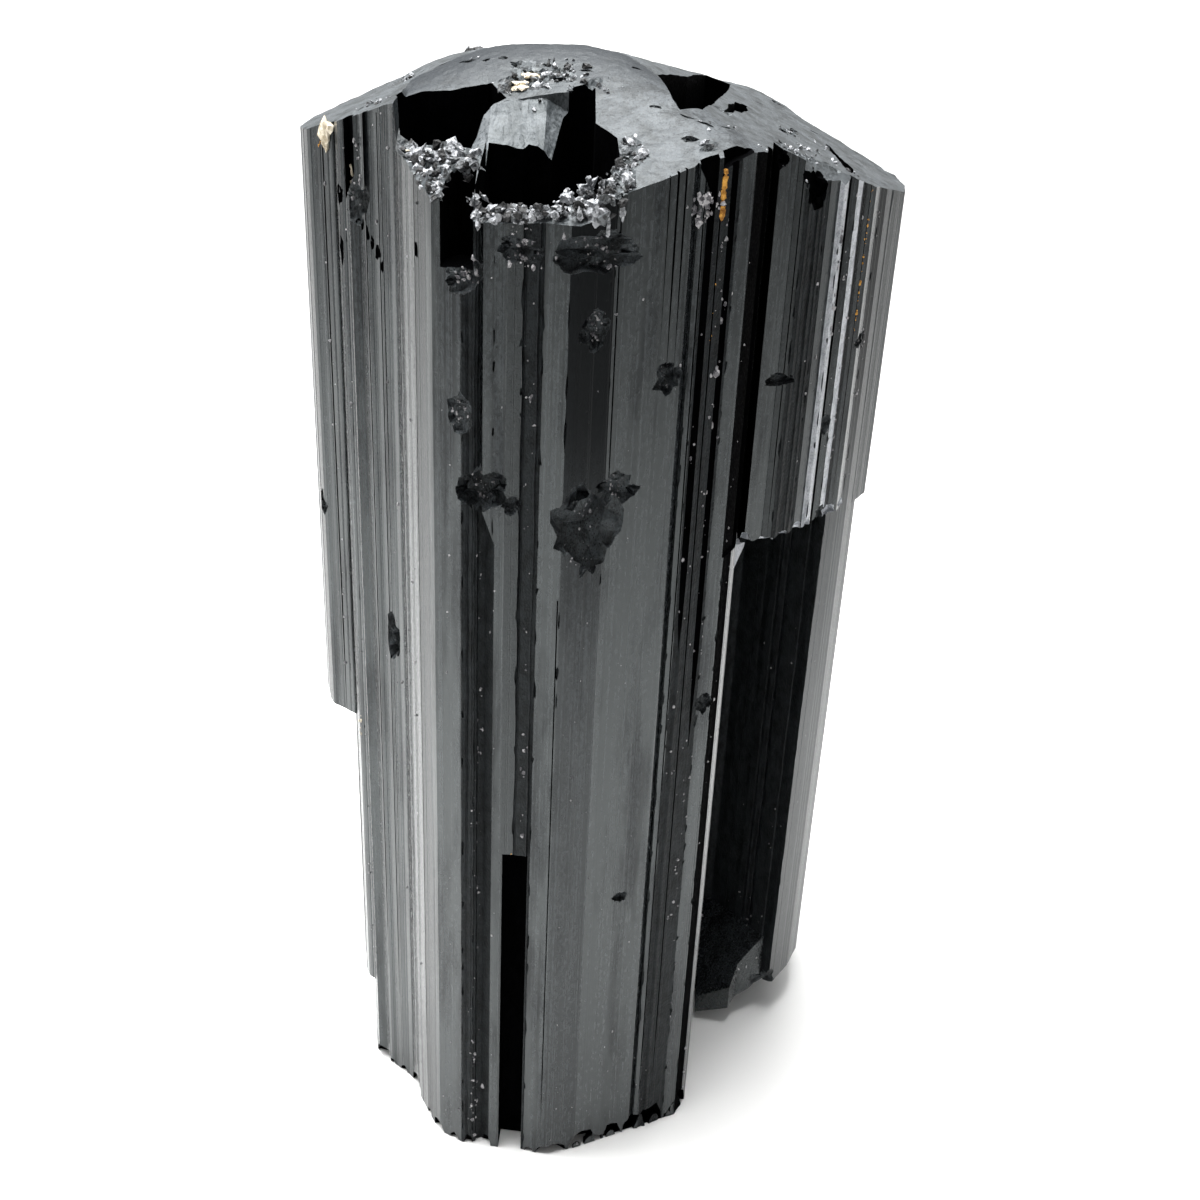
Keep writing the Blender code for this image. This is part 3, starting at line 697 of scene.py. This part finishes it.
GROOVES = [
    (6.77, 3.4, 26, 0.16, 0.3, 77, 97), (7.32, 3.67, 26, 0.14, 0.3, 78, 97),
    (6.2, 3.12, 26, 0.08, 0.2, 80, 97), (2.95, 1.52, 26, 0.12, 0.25, 64, 97),
    (-16.3, 11.4, -45, 0.14, 0.3, 12, 96), (-21.85, 17.1, -62, 0.12, 0.3, 39, 96),
    (-20.05, 15.3, -30, 0.16, 0.35, 39, 96), (-19, 14.4, -60, 0.12, 0.3, 12, 96),
    (20.95, 18.75, 50, 0.14, 0.35, 60, 96), (18, 15.5, 45, 0.08, 0.25, 64, 96),
    (16.7, 14.5, 20, 0.08, 0.25, 59, 96), (22.2, 20.4, 35, 0.16, 0.35, 60, 92),
    (-0.55, 0.52, 10, 0.1, 0.25, 2, 60), (-11.8, 5.2, -60, 0.14, 0.3, 4, 94),
    (-13.4, 8.4, -66, 0.12, 0.25, 3, 93), (9.9, 4.9, 32, 0.12, 0.3, 5, 92),
    (9.25, 4.45, 30, 0.55, 0.3, 52, 97), (10.75, 5.45, 30, 0.55, 0.3, 44, 97),
    (22.9, 20.9, 34, 0.08, 0.25, 60, 92), (-15.2, 10.5, -45, 0.1, 0.25, 8, 94),
    (8.7, 4.2, 26, 0.1, 0.25, 1, 97),
]
GROOVE_TAPER = 9.0
TIP_SHARE = 0.12
OUTSIDE = 0.6


def groove_blades(grooves):
    """Thin upright blades with pointed ends, standing across the face that they cut."""
    shape = bmesh.new()
    for x, y, facing, width, depth, low, high in grooves:
        out_x, out_y = outward(facing)
        edge, taper = width / 2, -depth * 0.6
        blade = [(-edge, OUTSIDE), (edge, OUTSIDE), (edge, taper), (0.0, -depth), (-edge, taper)]
        rings = []
        for z, share in ((low, TIP_SHARE), (low + GROOVE_TAPER, 1.0), (high, 1.0)):
            spots = [(a * share, b if b > 0.0 else b * share) for a, b in blade]
            spots = [(x - a * out_y + b * out_x, y + a * out_x + b * out_y) for a, b in spots]
            rings.append([shape.verts.new(place(*spot, z)) for spot in spots])
        skin(shape, rings)
    for face in shape.faces:
        face.material_index = HOLLOW
    return make_object(shape)


combine(crystal, groove_blades(GROOVES))

# ---- nicks: the etched strips' edges are bitten in many small places ----
# Corner, facing in degrees, lower and upper end, half width and mean gap along the edge.

NICKED_EDGES = [
    (-8, 1.6, -20, 1, 84, 0.16, 2.4), (-7.1, 1.5, -5, 1, 84, 0.14, 2.2), (-5.7, 1.3, -15, 1, 88, 0.14, 2.4),
    (-3.7, 1.05, -4, 36, 88, 0.16, 2.2), (-2.2, 0.9, -8, 1, 88, 0.16, 2), (-0.4, 0.5, 5, 50, 88, 0.14, 2.6),
    (2.7, 1.4, 20, 60, 88, 0.12, 3), (8.3, 4.1, 20, 1, 92, 0.12, 2.6), (8.8, 4.2, 28, 1, 92, 0.16, 1.8),
    (11.2, 5.7, 30, 1, 92, 0.2, 1.6), (12.4, 6.2, 40, 1, 92, 0.18, 2), (-12.9, 7.3, -64, 1, 92, 0.1, 3.4),
    (-18, 13.2, -50, 1, 92, 0.12, 3), (17, 14.5, 25, 60, 90, 0.12, 2.4),
    (18.9, 16.4, 45, 60, 88, 0.16, 1.8), (20.3, 17.3, 30, 60, 88, 0.14, 1.8),
    (21.6, 19.2, 45, 60, 88, 0.16, 1.6), (24, 22.5, 45, 60, 87, 0.16, 2),
    (-19.4, 15, -45, 40, 93, 0.12, 2.2), (22.4, 20.6, 10, 5, 58, 0.12, 3),
]
NICK_DEPTH = 0.18


def nicks(edges, rng):
    """One cutter of small jagged lumps strung along the edges, never close enough to touch."""
    shape = bmesh.new()
    for x, y, facing, low, high, half_width, gap in edges:
        z = low + rng.uniform(0.2, 1.0) * gap
        while z < high:
            tall = rng.uniform(0.10, 0.55) * gap
            wide = half_width * rng.uniform(0.35, 1.0)
            lump(shape, place(x, y, z), (wide, NICK_DEPTH, tall), facing, rng, 0.5, 1, ETCHED)
            z += tall * 1.7 + gap * rng.uniform(0.4, 3.2)
    return make_object(shape)


combine(crystal, nicks(NICKED_EDGES, random.Random(71)))

# ---- pits in the faces: place, facing in degrees, width, height and depth ----
# The last four touch others, so they are taken out in a round of their own.

PITS = [
    (-6.7, 1.6, 68.7, -5, 3.4, 3.2, 1.3), (-4.3, 1.1, 67.6, -5, 1.3, 1.2, 0.5),
    (1.6, 0.8, 66, 12, 4.6, 6.8, 1.6), (1.6, 1, 81.6, 12, 2, 2.4, 0.7), (6.9, 3.5, 77.4, 26, 1.9, 2.3, 0.8),
    (-8.2, 1.6, 74.5, -20, 2, 2.4, 0.5), (-14.9, 10.2, 50.5, -48, 1.3, 4, 1.3),
    (1.6, 0.9, 87.1, 12, 5.6, 2.6, 1.1), (5.7, 2.9, 29.5, 26, 1.2, 1, 0.5),
    (23.7, 21.8, 75.1, 50, 1.6, 1.1, 0.5), (21.2, 18.8, 68.4, 45, 1.2, 1.5, 0.6),
    (16.4, 14.6, 73.8, 25, 2.4, 0.9, 0.5), (-3.9, 1, 87, -4, 2.8, 1.8, 0.6),
    (-17, 12, 87.2, -20, 1.8, 2.6, 0.6), (11.8, 6, 48, 30, 1.3, 1.8, 0.5),
    (22.3, 20.3, 3.8, -25, 3.4, 3.6, 1.5), (-21.6, 16.6, 60, -60, 1.2, 1.8, 0.5),
    (27.5, 30.6, 70, 84, 1.8, 3, 0.7), (26.4, 30, 31, 84, 2.2, 2.8, 0.8),
    (11.4, 42.2, 62, 154, 3.4, 4.4, 1.2), (0, 34, 40, 152, 4.2, 3, 1.1),
    (-12.6, 26.9, 71, -160, 3, 4.8, 1.2), (-16.5, 23.4, 24, -140, 2.6, 3.4, 1),
    (3.7, 1.8, 69, 24, 3.2, 2.3, 1), (-8, 1.6, 84.9, -20, 3, 2.4, 0.9),
    (21.8, 19.4, 59.8, 45, 1.5, 1.6, 0.6), (8, 39.9, 57.6, 160, 2.6, 3, 0.9),
]
OVER_OTHERS = 4
# Bites out of the top rim, painted black as painted shade, as the pits.
RIM_BITES = [
    (17.8, 15.4, 89.3, 45, 2.4, 3.2, 0.8), (14.6, 13.6, 91.6, 30, 1.6, 1.6, 0.7),
]
# A crack that runs down the left flank: one small bite after another, as the pits, its walls painted black as
# painted shade.
FLANK_CRACK = [
    (-18.5, 13.7, 87.2, -49, 1.2, 1.8, 0.4), (-17, 12.1, 86, -30, 0.5, 1.2, 0.3),
    (-16.6, 11.8, 85.5, -49, 0.5, 0.9, 0.3), (-16.2, 11.3, 85, -40, 0.5, 1.2, 0.3),
    (-15.8, 11, 84.3, -36, 0.4, 1, 0.3), (-15.4, 10.7, 83.6, -41, 0.7, 1.4, 0.3),
    (-15, 10.4, 82.7, -41, 0.4, 0.9, 0.25), (-11.7, 5, 85.6, -61, 0.7, 1.3, 0.4),
    (-18.6, 13.6, 83, -49, 0.6, 2.4, 0.3),
]
# Chips along the base edge, their walls painted black as painted shade: place, facing, width and height.
BASE_CHIPS = [
    (-17.3, 12, -20, 2.4, 1.4), (-13.2, 8.2, -60, 2.6, 1.8), (-10.6, 3, -55, 1.8, 1.2),
    (-6, 1.4, -6, 1.6, 1), (0.6, 0.5, 8, 3.2, 1.2), (4.6, 2.3, 26, 2.2, 0.9), (8.4, 4.2, 26, 2.6, 1.8),
    (13, 7, 50, 2.8, 2.4), (11.4, 42.3, 140, 3.4, 1.4), (4, 36.6, 152, 5, 2.4), (-6.4, 29.9, 150, 3.6, 1.6),
    (-14.6, 25.4, -150, 4.6, 2.6), (-18.2, 18.2, -96, 3, 1.6), (-8.9, 1.9, -26, 0.9, 0.8),
    (-7.5, 1.5, -5, 0.8, 1), (-1.6, 0.8, -8, 0.9, 0.5), (2.9, 1.5, 24, 0.9, 0.6), (6.2, 3.1, 26, 1, 0.7),
    (10.3, 5.2, 30, 1.2, 1.1), (11.8, 6, 30, 0.9, 0.7), (-11.6, 4.8, -60, 0.9, 0.7),
    (-14.9, 10.2, -45, 0.9, 0.8), (-16.2, 11.3, -45, 0.8, 0.6), (3.4, 1.8, 26, 3, 1.9),
    (6.2, 3.2, 26, 2.2, 1.7), (9.8, 4.9, 30, 3, 2.6), (12.6, 6.5, 45, 2.2, 2.2),
]
# Frosted chips along the lower edge of the slab, as the pits.
SLAB_CHIPS = [
    (14.7, 14, 59.2, 20, 1.3, 2.2, 0.7), (16.6, 14.5, 59.4, 15, 1.6, 0.5, 0.4),
    (18, 15.5, 59.5, 45, 1.6, 0.7, 0.5), (19.3, 16.8, 59.6, 45, 1.3, 1, 0.5),
    (20.4, 17.6, 59.6, 40, 1, 1.3, 0.5), (22.6, 20.6, 59.8, 35, 1.8, 1.2, 0.5),
    (23.7, 21.9, 59.9, 60, 1.2, 0.8, 0.4),
]
# Bites out of a pit's edge: how far out they sit, their size and their depth as shares of the pit's.
BITE_REACH, BITE_SIZES, BITE_DEPTH = 0.40, (0.14, 0.32), 0.8


def pit_lumps(pits, rng, rounds, kind):
    """Cutter for a set of pits: each is a main lump with smaller ones biting out of its edge."""
    whole = None
    for turn in range(rounds):
        shape = bmesh.new()
        for x, y, z, facing, width, height, depth in pits:
            ahead, share, deep = 0.0, 0.5, depth
            if turn:
                angle = rng.uniform(0.0, 2.0 * math.pi)
                ahead = BITE_REACH * width * math.cos(angle)
                z += BITE_REACH * height * math.sin(angle)
                share, deep = rng.uniform(*BITE_SIZES), depth * BITE_DEPTH
            out_x, out_y = outward(facing)
            centre = place(x - ahead * out_y, y + ahead * out_x, z)
            lump(shape, centre, (width * share, deep, height * share), facing, rng, 0.42, 2, kind)
        layer = make_object(shape)
        if whole:
            combine(whole, layer, "UNION")
        else:
            whole = layer
    return whole


rng = random.Random(11)
combine(crystal, pit_lumps(PITS[:-OVER_OTHERS], rng, 8, CRUMBLY))
combine(crystal, pit_lumps(PITS[-OVER_OTHERS:], rng, 7, CRUMBLY))
for chip in SLAB_CHIPS:
    combine(crystal, pit_lumps([chip], rng, 1, PALE))
combine(crystal, pit_lumps(RIM_BITES, random.Random(91), 8, HOLLOW))
rng = random.Random(19)
for bite in FLANK_CRACK:
    combine(crystal, pit_lumps([bite], rng, 1, HOLLOW))
rng = random.Random(53)
shape = bmesh.new()
for x, y, facing, width, height in BASE_CHIPS:
    lump(shape, place(x, y, 0.0), (width / 2, 0.45 * width, height), facing, rng, kind=HOLLOW)
combine(crystal, make_object(shape))

# ---- cracks and small pits in the roof: place, length, width and heading in degrees ----

ROOF_MARKS = [
    (-14.6, 23.3, 1, 0.6, 40), (-13.3, 22.6, 0.6, 0.4, 10), (-9.3, 18.8, 1.5, 0.6, -20),
    (-7.9, 18.3, 0.6, 0.4, 30), (-6.6, 18.3, 0.9, 0.5, -10), (-5.6, 17.2, 1.2, 0.4, -40),
    (-4.5, 16.3, 1.3, 0.4, -37), (-5.4, 15.5, 0.6, 0.4, 0), (-4.4, 14.9, 0.8, 0.5, 20),
    (-3.5, 14.3, 0.6, 0.4, -30), (-2.1, 15.2, 1.2, 0.8, 10), (-1.3, 16.1, 0.6, 0.4, 50),
    (-0.2, 15.9, 1.1, 0.3, -5), (-3.2, 16.9, 0.7, 0.3, -30), (5, 10.9, 1, 0.3, -10),
    (7.4, 9.9, 1.3, 0.3, -25), (8.7, 9.2, 1.4, 0.4, -20), (10.2, 9.9, 1.5, 0.3, 35),
    (11.4, 11.4, 1, 0.25, 50), (7.5, 7.1, 1.3, 0.7, -10), (15.8, 24, 0.8, 2, 10), (17, 27.4, 0.9, 2.4, -10),
    (20.4, 28, 0.7, 6, 6), (21.2, 23.6, 0.6, 2, 30), (16.6, 40.4, 2.4, 0.9, 10), (3.6, 17.2, 1, 0.5, 25),
    (1.2, 21, 1.4, 0.4, -30), (-11.4, 21, 1.1, 0.5, 15), (9.4, 21.6, 0.7, 1.2, 10),
    (-3.8, 22.6, 1.6, 0.6, 20), (2, 28.4, 2.2, 0.8, -25), (8.2, 34.6, 2, 1, 15), (-8.4, 26, 1.6, 0.7, -35),
    (14.4, 33.6, 1.8, 0.8, 40), (19.6, 34.4, 1.2, 0.6, -20), (4.2, 5.2, 0.7, 0.4, 20),
]
MARK_DEPTH = 0.35

rng = random.Random(37)
shape = bmesh.new()
for x, y, length, width, heading in ROOF_MARKS:
    centre = place(x, y, roof_relief(x, y))
    lump(shape, centre, (length / 2, width / 2, MARK_DEPTH), heading, rng, 0.45, 2, CRUMBLY)
combine(crystal, make_object(shape))

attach(crystal, "root")
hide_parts("tourmaline_crystal")


# ==== rim rubble: small broken lumps still fused to the hollowed top ====
# Schorl crushed along the rims when the top broke, whitened by its own powder, and frosted chips of
# feldspar. Each lump sits half sunk in the crystal.

surface = BVHTree.FromPolygons(
    [vert.co for vert in crystal.data.vertices],
    [tuple(face.vertices) for face in crystal.data.polygons],
)


def crushed(name, dark, pale, cell_mm):
    """Crushed ground: each splinter has its own shade between dark and pale powder."""
    material, tree, shader = new_material(name)
    where = along_the_length(tree, cell_mm, cell_mm)
    splinters = node(tree, "TexVoronoi", {"Scale": 1.0, "Vector": where})
    powder = node(tree, "TexNoise", {**CLOUDY, "Scale": 3.0, "Vector": where})[0]
    own = node(tree, "SeparateColor", {"Color": splinters["Color"]})[0]
    colour = passing(tree, own, 0.1, 0.9, dark, pale)
    dull = {**SMOOTH, 0: powder, 1: 0.3, 2: 0.7, 3: 0.35, 4: 0.75}
    fill(tree, shader, {
        "Base Color": passing(tree, powder, 0.45, 0.8, colour, pale, 0.6), "IOR": 1.5,
        "Roughness": node(tree, "MapRange", dull)[0],
        "Normal": relief(tree, [(splinters["Distance"], 0.08), (powder, 0.06)]),
    })
    return material


def fused_on(name, shape, materials):
    """Makes a piece of many small lumps, kept within the crystal's plan bounds and above its foot."""
    low, high = place(*PLAN_LOW, 0.0), place(*PLAN_HIGH, 0.0)
    for vert in shape.verts:
        vert.co.x = min(max(vert.co.x, low.x), high.x)
        vert.co.y = min(max(vert.co.y, low.y), high.y)
        vert.co.z = max(vert.co.z, 0.0)
    piece = make_object(shape, name, materials)
    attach(piece, "root")


# Heaps: plan middle, plan radius, number of lumps tried and their mean size.
RUBBLE_HEAPS = [
    (-12.3, 7.6, 0.9, 32, 0.8), (-10.9, 7, 0.9, 36, 0.8), (-9.4, 7.2, 0.9, 36, 0.8),
    (-8.2, 6.2, 0.9, 32, 0.8), (-11.4, 5.7, 0.9, 24, 0.6), (-10, 5.4, 0.8, 24, 0.6),
    (-9.9, 3.8, 0.8, 16, 0.6), (-7.6, 5.3, 0.8, 24, 0.7), (-6.5, 2.7, 0.7, 28, 0.7),
    (-5.3, 2.2, 0.7, 32, 0.8), (-4.1, 2, 0.6, 28, 0.7), (-2.8, 1.9, 0.7, 28, 0.7),
    (-1.4, 1.9, 0.7, 24, 0.7), (0, 2.1, 0.8, 28, 0.8), (1.4, 2.4, 0.9, 36, 0.9), (2.6, 3.4, 0.9, 28, 0.8),
    (3.2, 5, 0.8, 28, 0.7), (3.2, 6.8, 0.8, 20, 0.7), (1.9, 1.2, 0.7, 24, 0.8), (3.4, 2.2, 0.8, 16, 0.6),
    (-5.6, 14.6, 0.9, 20, 0.7), (-3.9, 15.2, 1.3, 28, 0.6), (-1.8, 15.6, 1.3, 20, 0.5),
    (-2.4, 17, 1.4, 16, 0.5), (8.6, 9.2, 0.6, 6, 0.4), (10.6, 10.5, 0.9, 6, 0.3),
    (15.6, 16.6, 0.7, 10, 0.45), (17, 17, 0.9, 12, 0.45), (17.4, 20, 0.9, 8, 0.4), (19, 22, 0.9, 6, 0.4),
    (20.8, 21, 0.8, 8, 0.4), (19.8, 27, 1.2, 8, 0.4), (-9, 26.5, 1, 16, 0.6), (-14.5, 21.5, 0.8, 12, 0.5),
    (8.8, 6.5, 0.4, 8, 0.6), (13.4, 9, 0.8, 8, 0.4), (-2.4, 15.4, 0.8, 16, 0.5), (-0.6, 15, 0.9, 16, 0.4),
    (0.9, 13.6, 0.9, 16, 0.4), (-8.9, 19.2, 0.6, 6, 0.3), (-16.4, 15, 0.9, 12, 0.4),
    (-15, 13.6, 0.8, 10, 0.4), (16.6, 26, 0.8, 8, 0.5), (21.2, 21.4, 0.4, 6, 0.6), (15, 13.6, 0.6, 6, 0.4),
    (17.6, 15, 0.6, 8, 0.4), (-10.6, 4.6, 0.9, 32, 0.5), (-9.9, 3, 0.7, 24, 0.5),
]
# Clusters on the broken front rim and on the ledge in the middle hollow: middle, radius, number, size.
RUBBLE_CLUSTERS = [
    (-6.5, 1.8, 89.1, 0.6, 22, 0.6), (-5.3, 1.6, 89.2, 0.6, 24, 0.6), (-4, 1.5, 89.3, 0.6, 22, 0.6),
    (-2.7, 1.3, 89.5, 0.6, 22, 0.55), (-1.3, 1.2, 89.7, 0.6, 22, 0.55), (0.1, 1.1, 89.8, 0.6, 24, 0.6),
    (1.4, 1.3, 89.9, 0.7, 26, 0.65), (2.5, 1.7, 90.2, 0.7, 24, 0.6), (3.4, 2.4, 90.8, 0.6, 16, 0.5),
    (-0.8, 3.2, 90.2, 0.7, 20, 0.6), (0.5, 3.6, 90.4, 0.7, 22, 0.6), (1.8, 4.2, 90.6, 0.7, 20, 0.6),
    (-7.4, 3.4, 89.8, 0.6, 14, 0.5), (-8, 5.6, 91, 0.5, 14, 0.5), (2.6, 6, 91.6, 0.6, 14, 0.5),
]
# Bright shards hanging on the rim: place, width and height.
SHARDS = [
    (1.25, 0.85, 89.5, 0.75, 2), (2.1, 1.15, 88.8, 0.35, 2.2), (0.1, 0.7, 89.7, 0.6, 1),
    (3, 1.5, 89.9, 0.5, 1.3), (-3.2, 1, 89.4, 0.7, 0.8), (-5.5, 1.25, 89.1, 0.6, 0.8),
    (-1.6, 0.85, 89.6, 0.8, 0.7), (0.7, 0.8, 88.9, 0.4, 0.9),
]
SHARD_DEPTH = 0.16
SHARD_FACING = 10.0
DEEPEST_SEAT = 2.6
TUMBLE = 0.8
# Which of the three materials a lump is made of.
RUBBLE_MIX = (0, 0, 1, 2, 2, 2)
DOWN = Vector((0.0, 0.0, -1.0))


def heaped(heaps, sizes, rng):
    """Yields the seat and the size of each lump in heaps on the roof, none in its deep hollows."""
    for heap_x, heap_y, radius, count, size in heaps:
        for _ in range(count):
            x, y = heap_x + rng.gauss(0.0, 0.6) * radius, heap_y + rng.gauss(0.0, 0.6) * radius
            seat = surface.ray_cast(place(x, y, 110.0), DOWN)[0]
            if seat and seat.z >= (roof_relief(x, y) - DEEPEST_SEAT) * MM:
                yield seat, size * rng.choice(sizes)


def splinter(shape, seat, size, rng):
    """Adds one tumbled, sharp-edged lump of rubble."""
    half = [0.5 * size * rng.uniform(0.4, 1.2) for _ in range(3)]
    lump(shape, seat, half, rng.uniform(0, 360), rng, 0.6, 1, rng.choice(RUBBLE_MIX), TUMBLE)


rng = random.Random(5)
shape = bmesh.new()
for seat, size in heaped(RUBBLE_HEAPS, (0.3, 0.4, 0.6, 0.9, 1.4), rng):
    splinter(shape, seat, size, rng)
for x, y, z, radius, count, size in RUBBLE_CLUSTERS:
    for _ in range(count):
        spot = [rng.gauss(0.0, 0.5) * radius for _ in range(3)]
        seat = place(x + spot[0], y + 0.5 * spot[1], z + spot[2])
        splinter(shape, seat, size * rng.choice((0.4, 0.6, 0.9, 1.4)), rng)
for x, y, z, width, height in SHARDS:
    lump(shape, place(x, y, z), (width / 2, SHARD_DEPTH, height / 2), SHARD_FACING, rng, 0.4, 1, 2, 0.2)
# Black splinters, grey powdered ones and frosted chips that stand out nearly white.
fused_on("rim_rubble", shape, [
    crushed("schorl_splinters_black", "020203", "1a1b1d", 0.22),
    crushed("schorl_crushed_and_powdered", "101213", "6a6e71", 0.22),
    crushed("feldspar_chips_frosted", "55585b", "b4b6ba", 0.22),
])

# ==== pale grains: feldspar and quartz crumbs stuck to the faces ====
# Tiny white crumbs of the rock that the crystal grew in, caught in the etched strips, in the pits
# and along the edges between strips.

# Rows: place on the face, facing, lower and upper end, half width, number and mean size.
GRAIN_ROWS = [
    (9.3, 4.5, 30, 40, 91, 0.4, 24, 0.24), (10.6, 5.3, 32, 20, 90, 0.6, 40, 0.26),
    (11.2, 5.7, 32, 6, 90, 0.2, 22, 0.22), (12.8, 6.9, 50, 30, 88, 0.5, 16, 0.22),
    (-3, 1, -4, 36, 87, 0.6, 30, 0.24), (-6.8, 1.7, -5, 6, 64, 0.3, 36, 0.22),
    (-7.2, 1.5, -5, 2, 40, 0.2, 16, 0.2), (-19.9, 15.4, -30, 44, 92, 0.25, 40, 0.24),
    (-18, 13.2, -40, 12, 92, 0.2, 22, 0.22), (-14.9, 10.2, -45, 6, 94, 1.2, 18, 0.22),
    (-12.5, 6.5, -62, 2, 92, 0.3, 16, 0.22), (21.6, 19.2, 45, 61, 88, 0.5, 26, 0.26),
    (22, 20.3, 45, 64, 86, 0.4, 18, 0.26), (24, 22.6, 45, 60, 87, 0.6, 18, 0.24),
    (18.6, 16.2, 45, 62, 88, 1, 12, 0.2), (1, 0.8, 12, 4, 90, 2, 26, 0.18),
    (5, 2.6, 26, 3, 90, 2.4, 26, 0.17), (-9.5, 2.2, -30, 1, 92, 1.4, 20, 0.18),
    (-5.4, 1.2, -8, 2, 88, 0.6, 14, 0.18), (-9.5, 2.2, -30, 0.6, 7, 1.4, 9, 0.2),
    (-6.9, 1.7, -6, 0.5, 13, 0.4, 22, 0.34), (2, 1, 18, 0.4, 6, 3, 6, 0.2),
    (8.8, 4.2, 30, 0.5, 12, 1, 7, 0.22), (13.2, 7.6, 50, 1, 9, 0.5, 10, 0.24),
    (20.5, 23, 10, 6, 50, 2.4, 18, 0.2), (19, 22.5, -20, 3, 14, 3, 18, 0.24),
    (-6.7, 1.6, -5, 67.4, 70, 1.2, 26, 0.22), (1.6, 0.8, 12, 63, 69, 1.6, 30, 0.22),
    (1.6, 1, 12, 80.6, 82.8, 0.7, 26, 0.24), (6.9, 3.5, 26, 76.4, 78.4, 0.7, 14, 0.24),
    (-8.2, 1.6, -20, 73.4, 75.6, 0.7, 16, 0.22), (1.6, 0.9, 12, 86, 88.4, 2.4, 40, 0.26),
    (-8, 1.6, -20, 84, 86, 1.2, 34, 0.3), (-3.9, 1, -4, 85.6, 88.6, 1.1, 34, 0.3),
    (8.9, 4.3, 30, 88.7, 90.7, 0.9, 60, 0.42), (-17, 12, -40, 86, 92, 1, 22, 0.26),
    (21.2, 18.8, 45, 67.5, 69.5, 0.5, 12, 0.24), (23.7, 21.8, 50, 74.5, 75.6, 0.7, 10, 0.22),
    (3.7, 1.8, 24, 68, 70, 1.2, 18, 0.22), (-14.9, 10.2, -48, 49, 53, 0.5, 8, 0.22),
    (10.6, 5.3, 32, 72, 91, 0.8, 16, 0.44), (20.4, 17.8, 45, 76, 88, 0.4, 18, 0.42),
]
THROWN_FROM = 4.0
THROWN_AS_FAR_AS = 9.0


def seated_grains(name, rows, material, rng, flat=1.0):
    """Small grains thrown at the faces from outside and left where they land."""
    shape = bmesh.new()
    for x, y, facing, low, high, half_width, count, size in rows:
        out = Vector((*outward(facing), 0.0))
        for _ in range(count):
            slide = rng.gauss(0.0, 0.5) * half_width
            start = place(x - slide * out.y, y + slide * out.x, rng.uniform(low, high))
            seat = surface.ray_cast(start + THROWN_FROM * MM * out, -out, THROWN_AS_FAR_AS * MM)[0]
            if seat is None:
                continue
            big = size * rng.choice((0.35, 0.45, 0.6, 0.8, 1.3))
            half = (0.5 * big * rng.uniform(0.6, 1.1), 0.4 * big * flat, 0.5 * big * rng.uniform(0.7, 1.6))
            lump(shape, seat, half, facing, rng, 0.45, 1, 0)
    fused_on(name, shape, [material])


rng = random.Random(23)
seated_grains("pale_grains", GRAIN_ROWS, crushed("feldspar_and_quartz_crumbs", "3c3b40", "a8a6a8", 0.3), rng)

# ==== stains: cream clay and rust-coloured iron stain ====
# Thin crusts of dried clay and iron oxide, left by water in cracks near the top and in the channel.
# Both are earthy and quite matt, blotched from dark to light.

CLAY_ROWS = [
    (-19.8, 15.1, -38, 90.5, 92.2, 0.4, 46, 0.95), (-18, 13, -30, 88, 90, 0.2, 5, 0.3),
    (-3.6, 1, -4, 34.2, 35, 0.5, 5, 0.4), (-18.6, 13.3, -40, 38, 40.5, 0.3, 8, 0.4),
]
RUST_ROWS = [
    (10, 5, 30, 88.9, 92.2, 0.06, 96, 0.4), (9.9, 4.9, 30, 78, 88.9, 0.05, 80, 0.2),
    (22.9, 21, 35, 76, 88, 0.1, 50, 0.2), (-4, 1.1, -4, 34.4, 35.4, 0.5, 6, 0.4),
    (-20.3, 15.5, -38, 90.4, 92, 0.1, 8, 0.3),
]
CLAY_HEAPS = [
    (-5.2, 14.6, 0.6, 22, 1.1), (-4.4, 15.8, 0.5, 10, 0.9), (-12, 7.2, 0.6, 3, 0.6),
]


def stain(name, dark, light):
    """An earthy matt crust, blotched from dark to light."""
    material, tree, shader = new_material(name)
    where = along_the_length(tree, 0.5, 0.5)
    blotch = node(tree, "TexNoise", {**CLOUDY, "Detail": 5.0, "Vector": where})[0]
    fill(tree, shader, {
        "Base Color": passing(tree, blotch, 0.35, 0.65, dark, light), "Roughness": 0.85,
        "Specular IOR Level": 0.2, "Normal": relief(tree, [(blotch, 0.06)]),
    })
    return material


cream_clay = stain("dried_cream_clay", "a3967e", "e8dfcd")
seated_grains("clay_crust", CLAY_ROWS, cream_clay, rng, 0.6)
seated_grains("iron_stain", RUST_ROWS, stain("rust_coloured_iron_oxide", "8a5a24", "e0a850"), rng, 0.5)

shape = bmesh.new()
for seat, size in heaped(CLAY_HEAPS, (0.5, 0.7, 1.0), rng):
    lump(shape, seat, (0.5 * size, 0.5 * size, 0.22 * size), rng.uniform(0, 360), rng, 0.4, 1, 0)
fused_on("roof_clay", shape, [cream_clay])
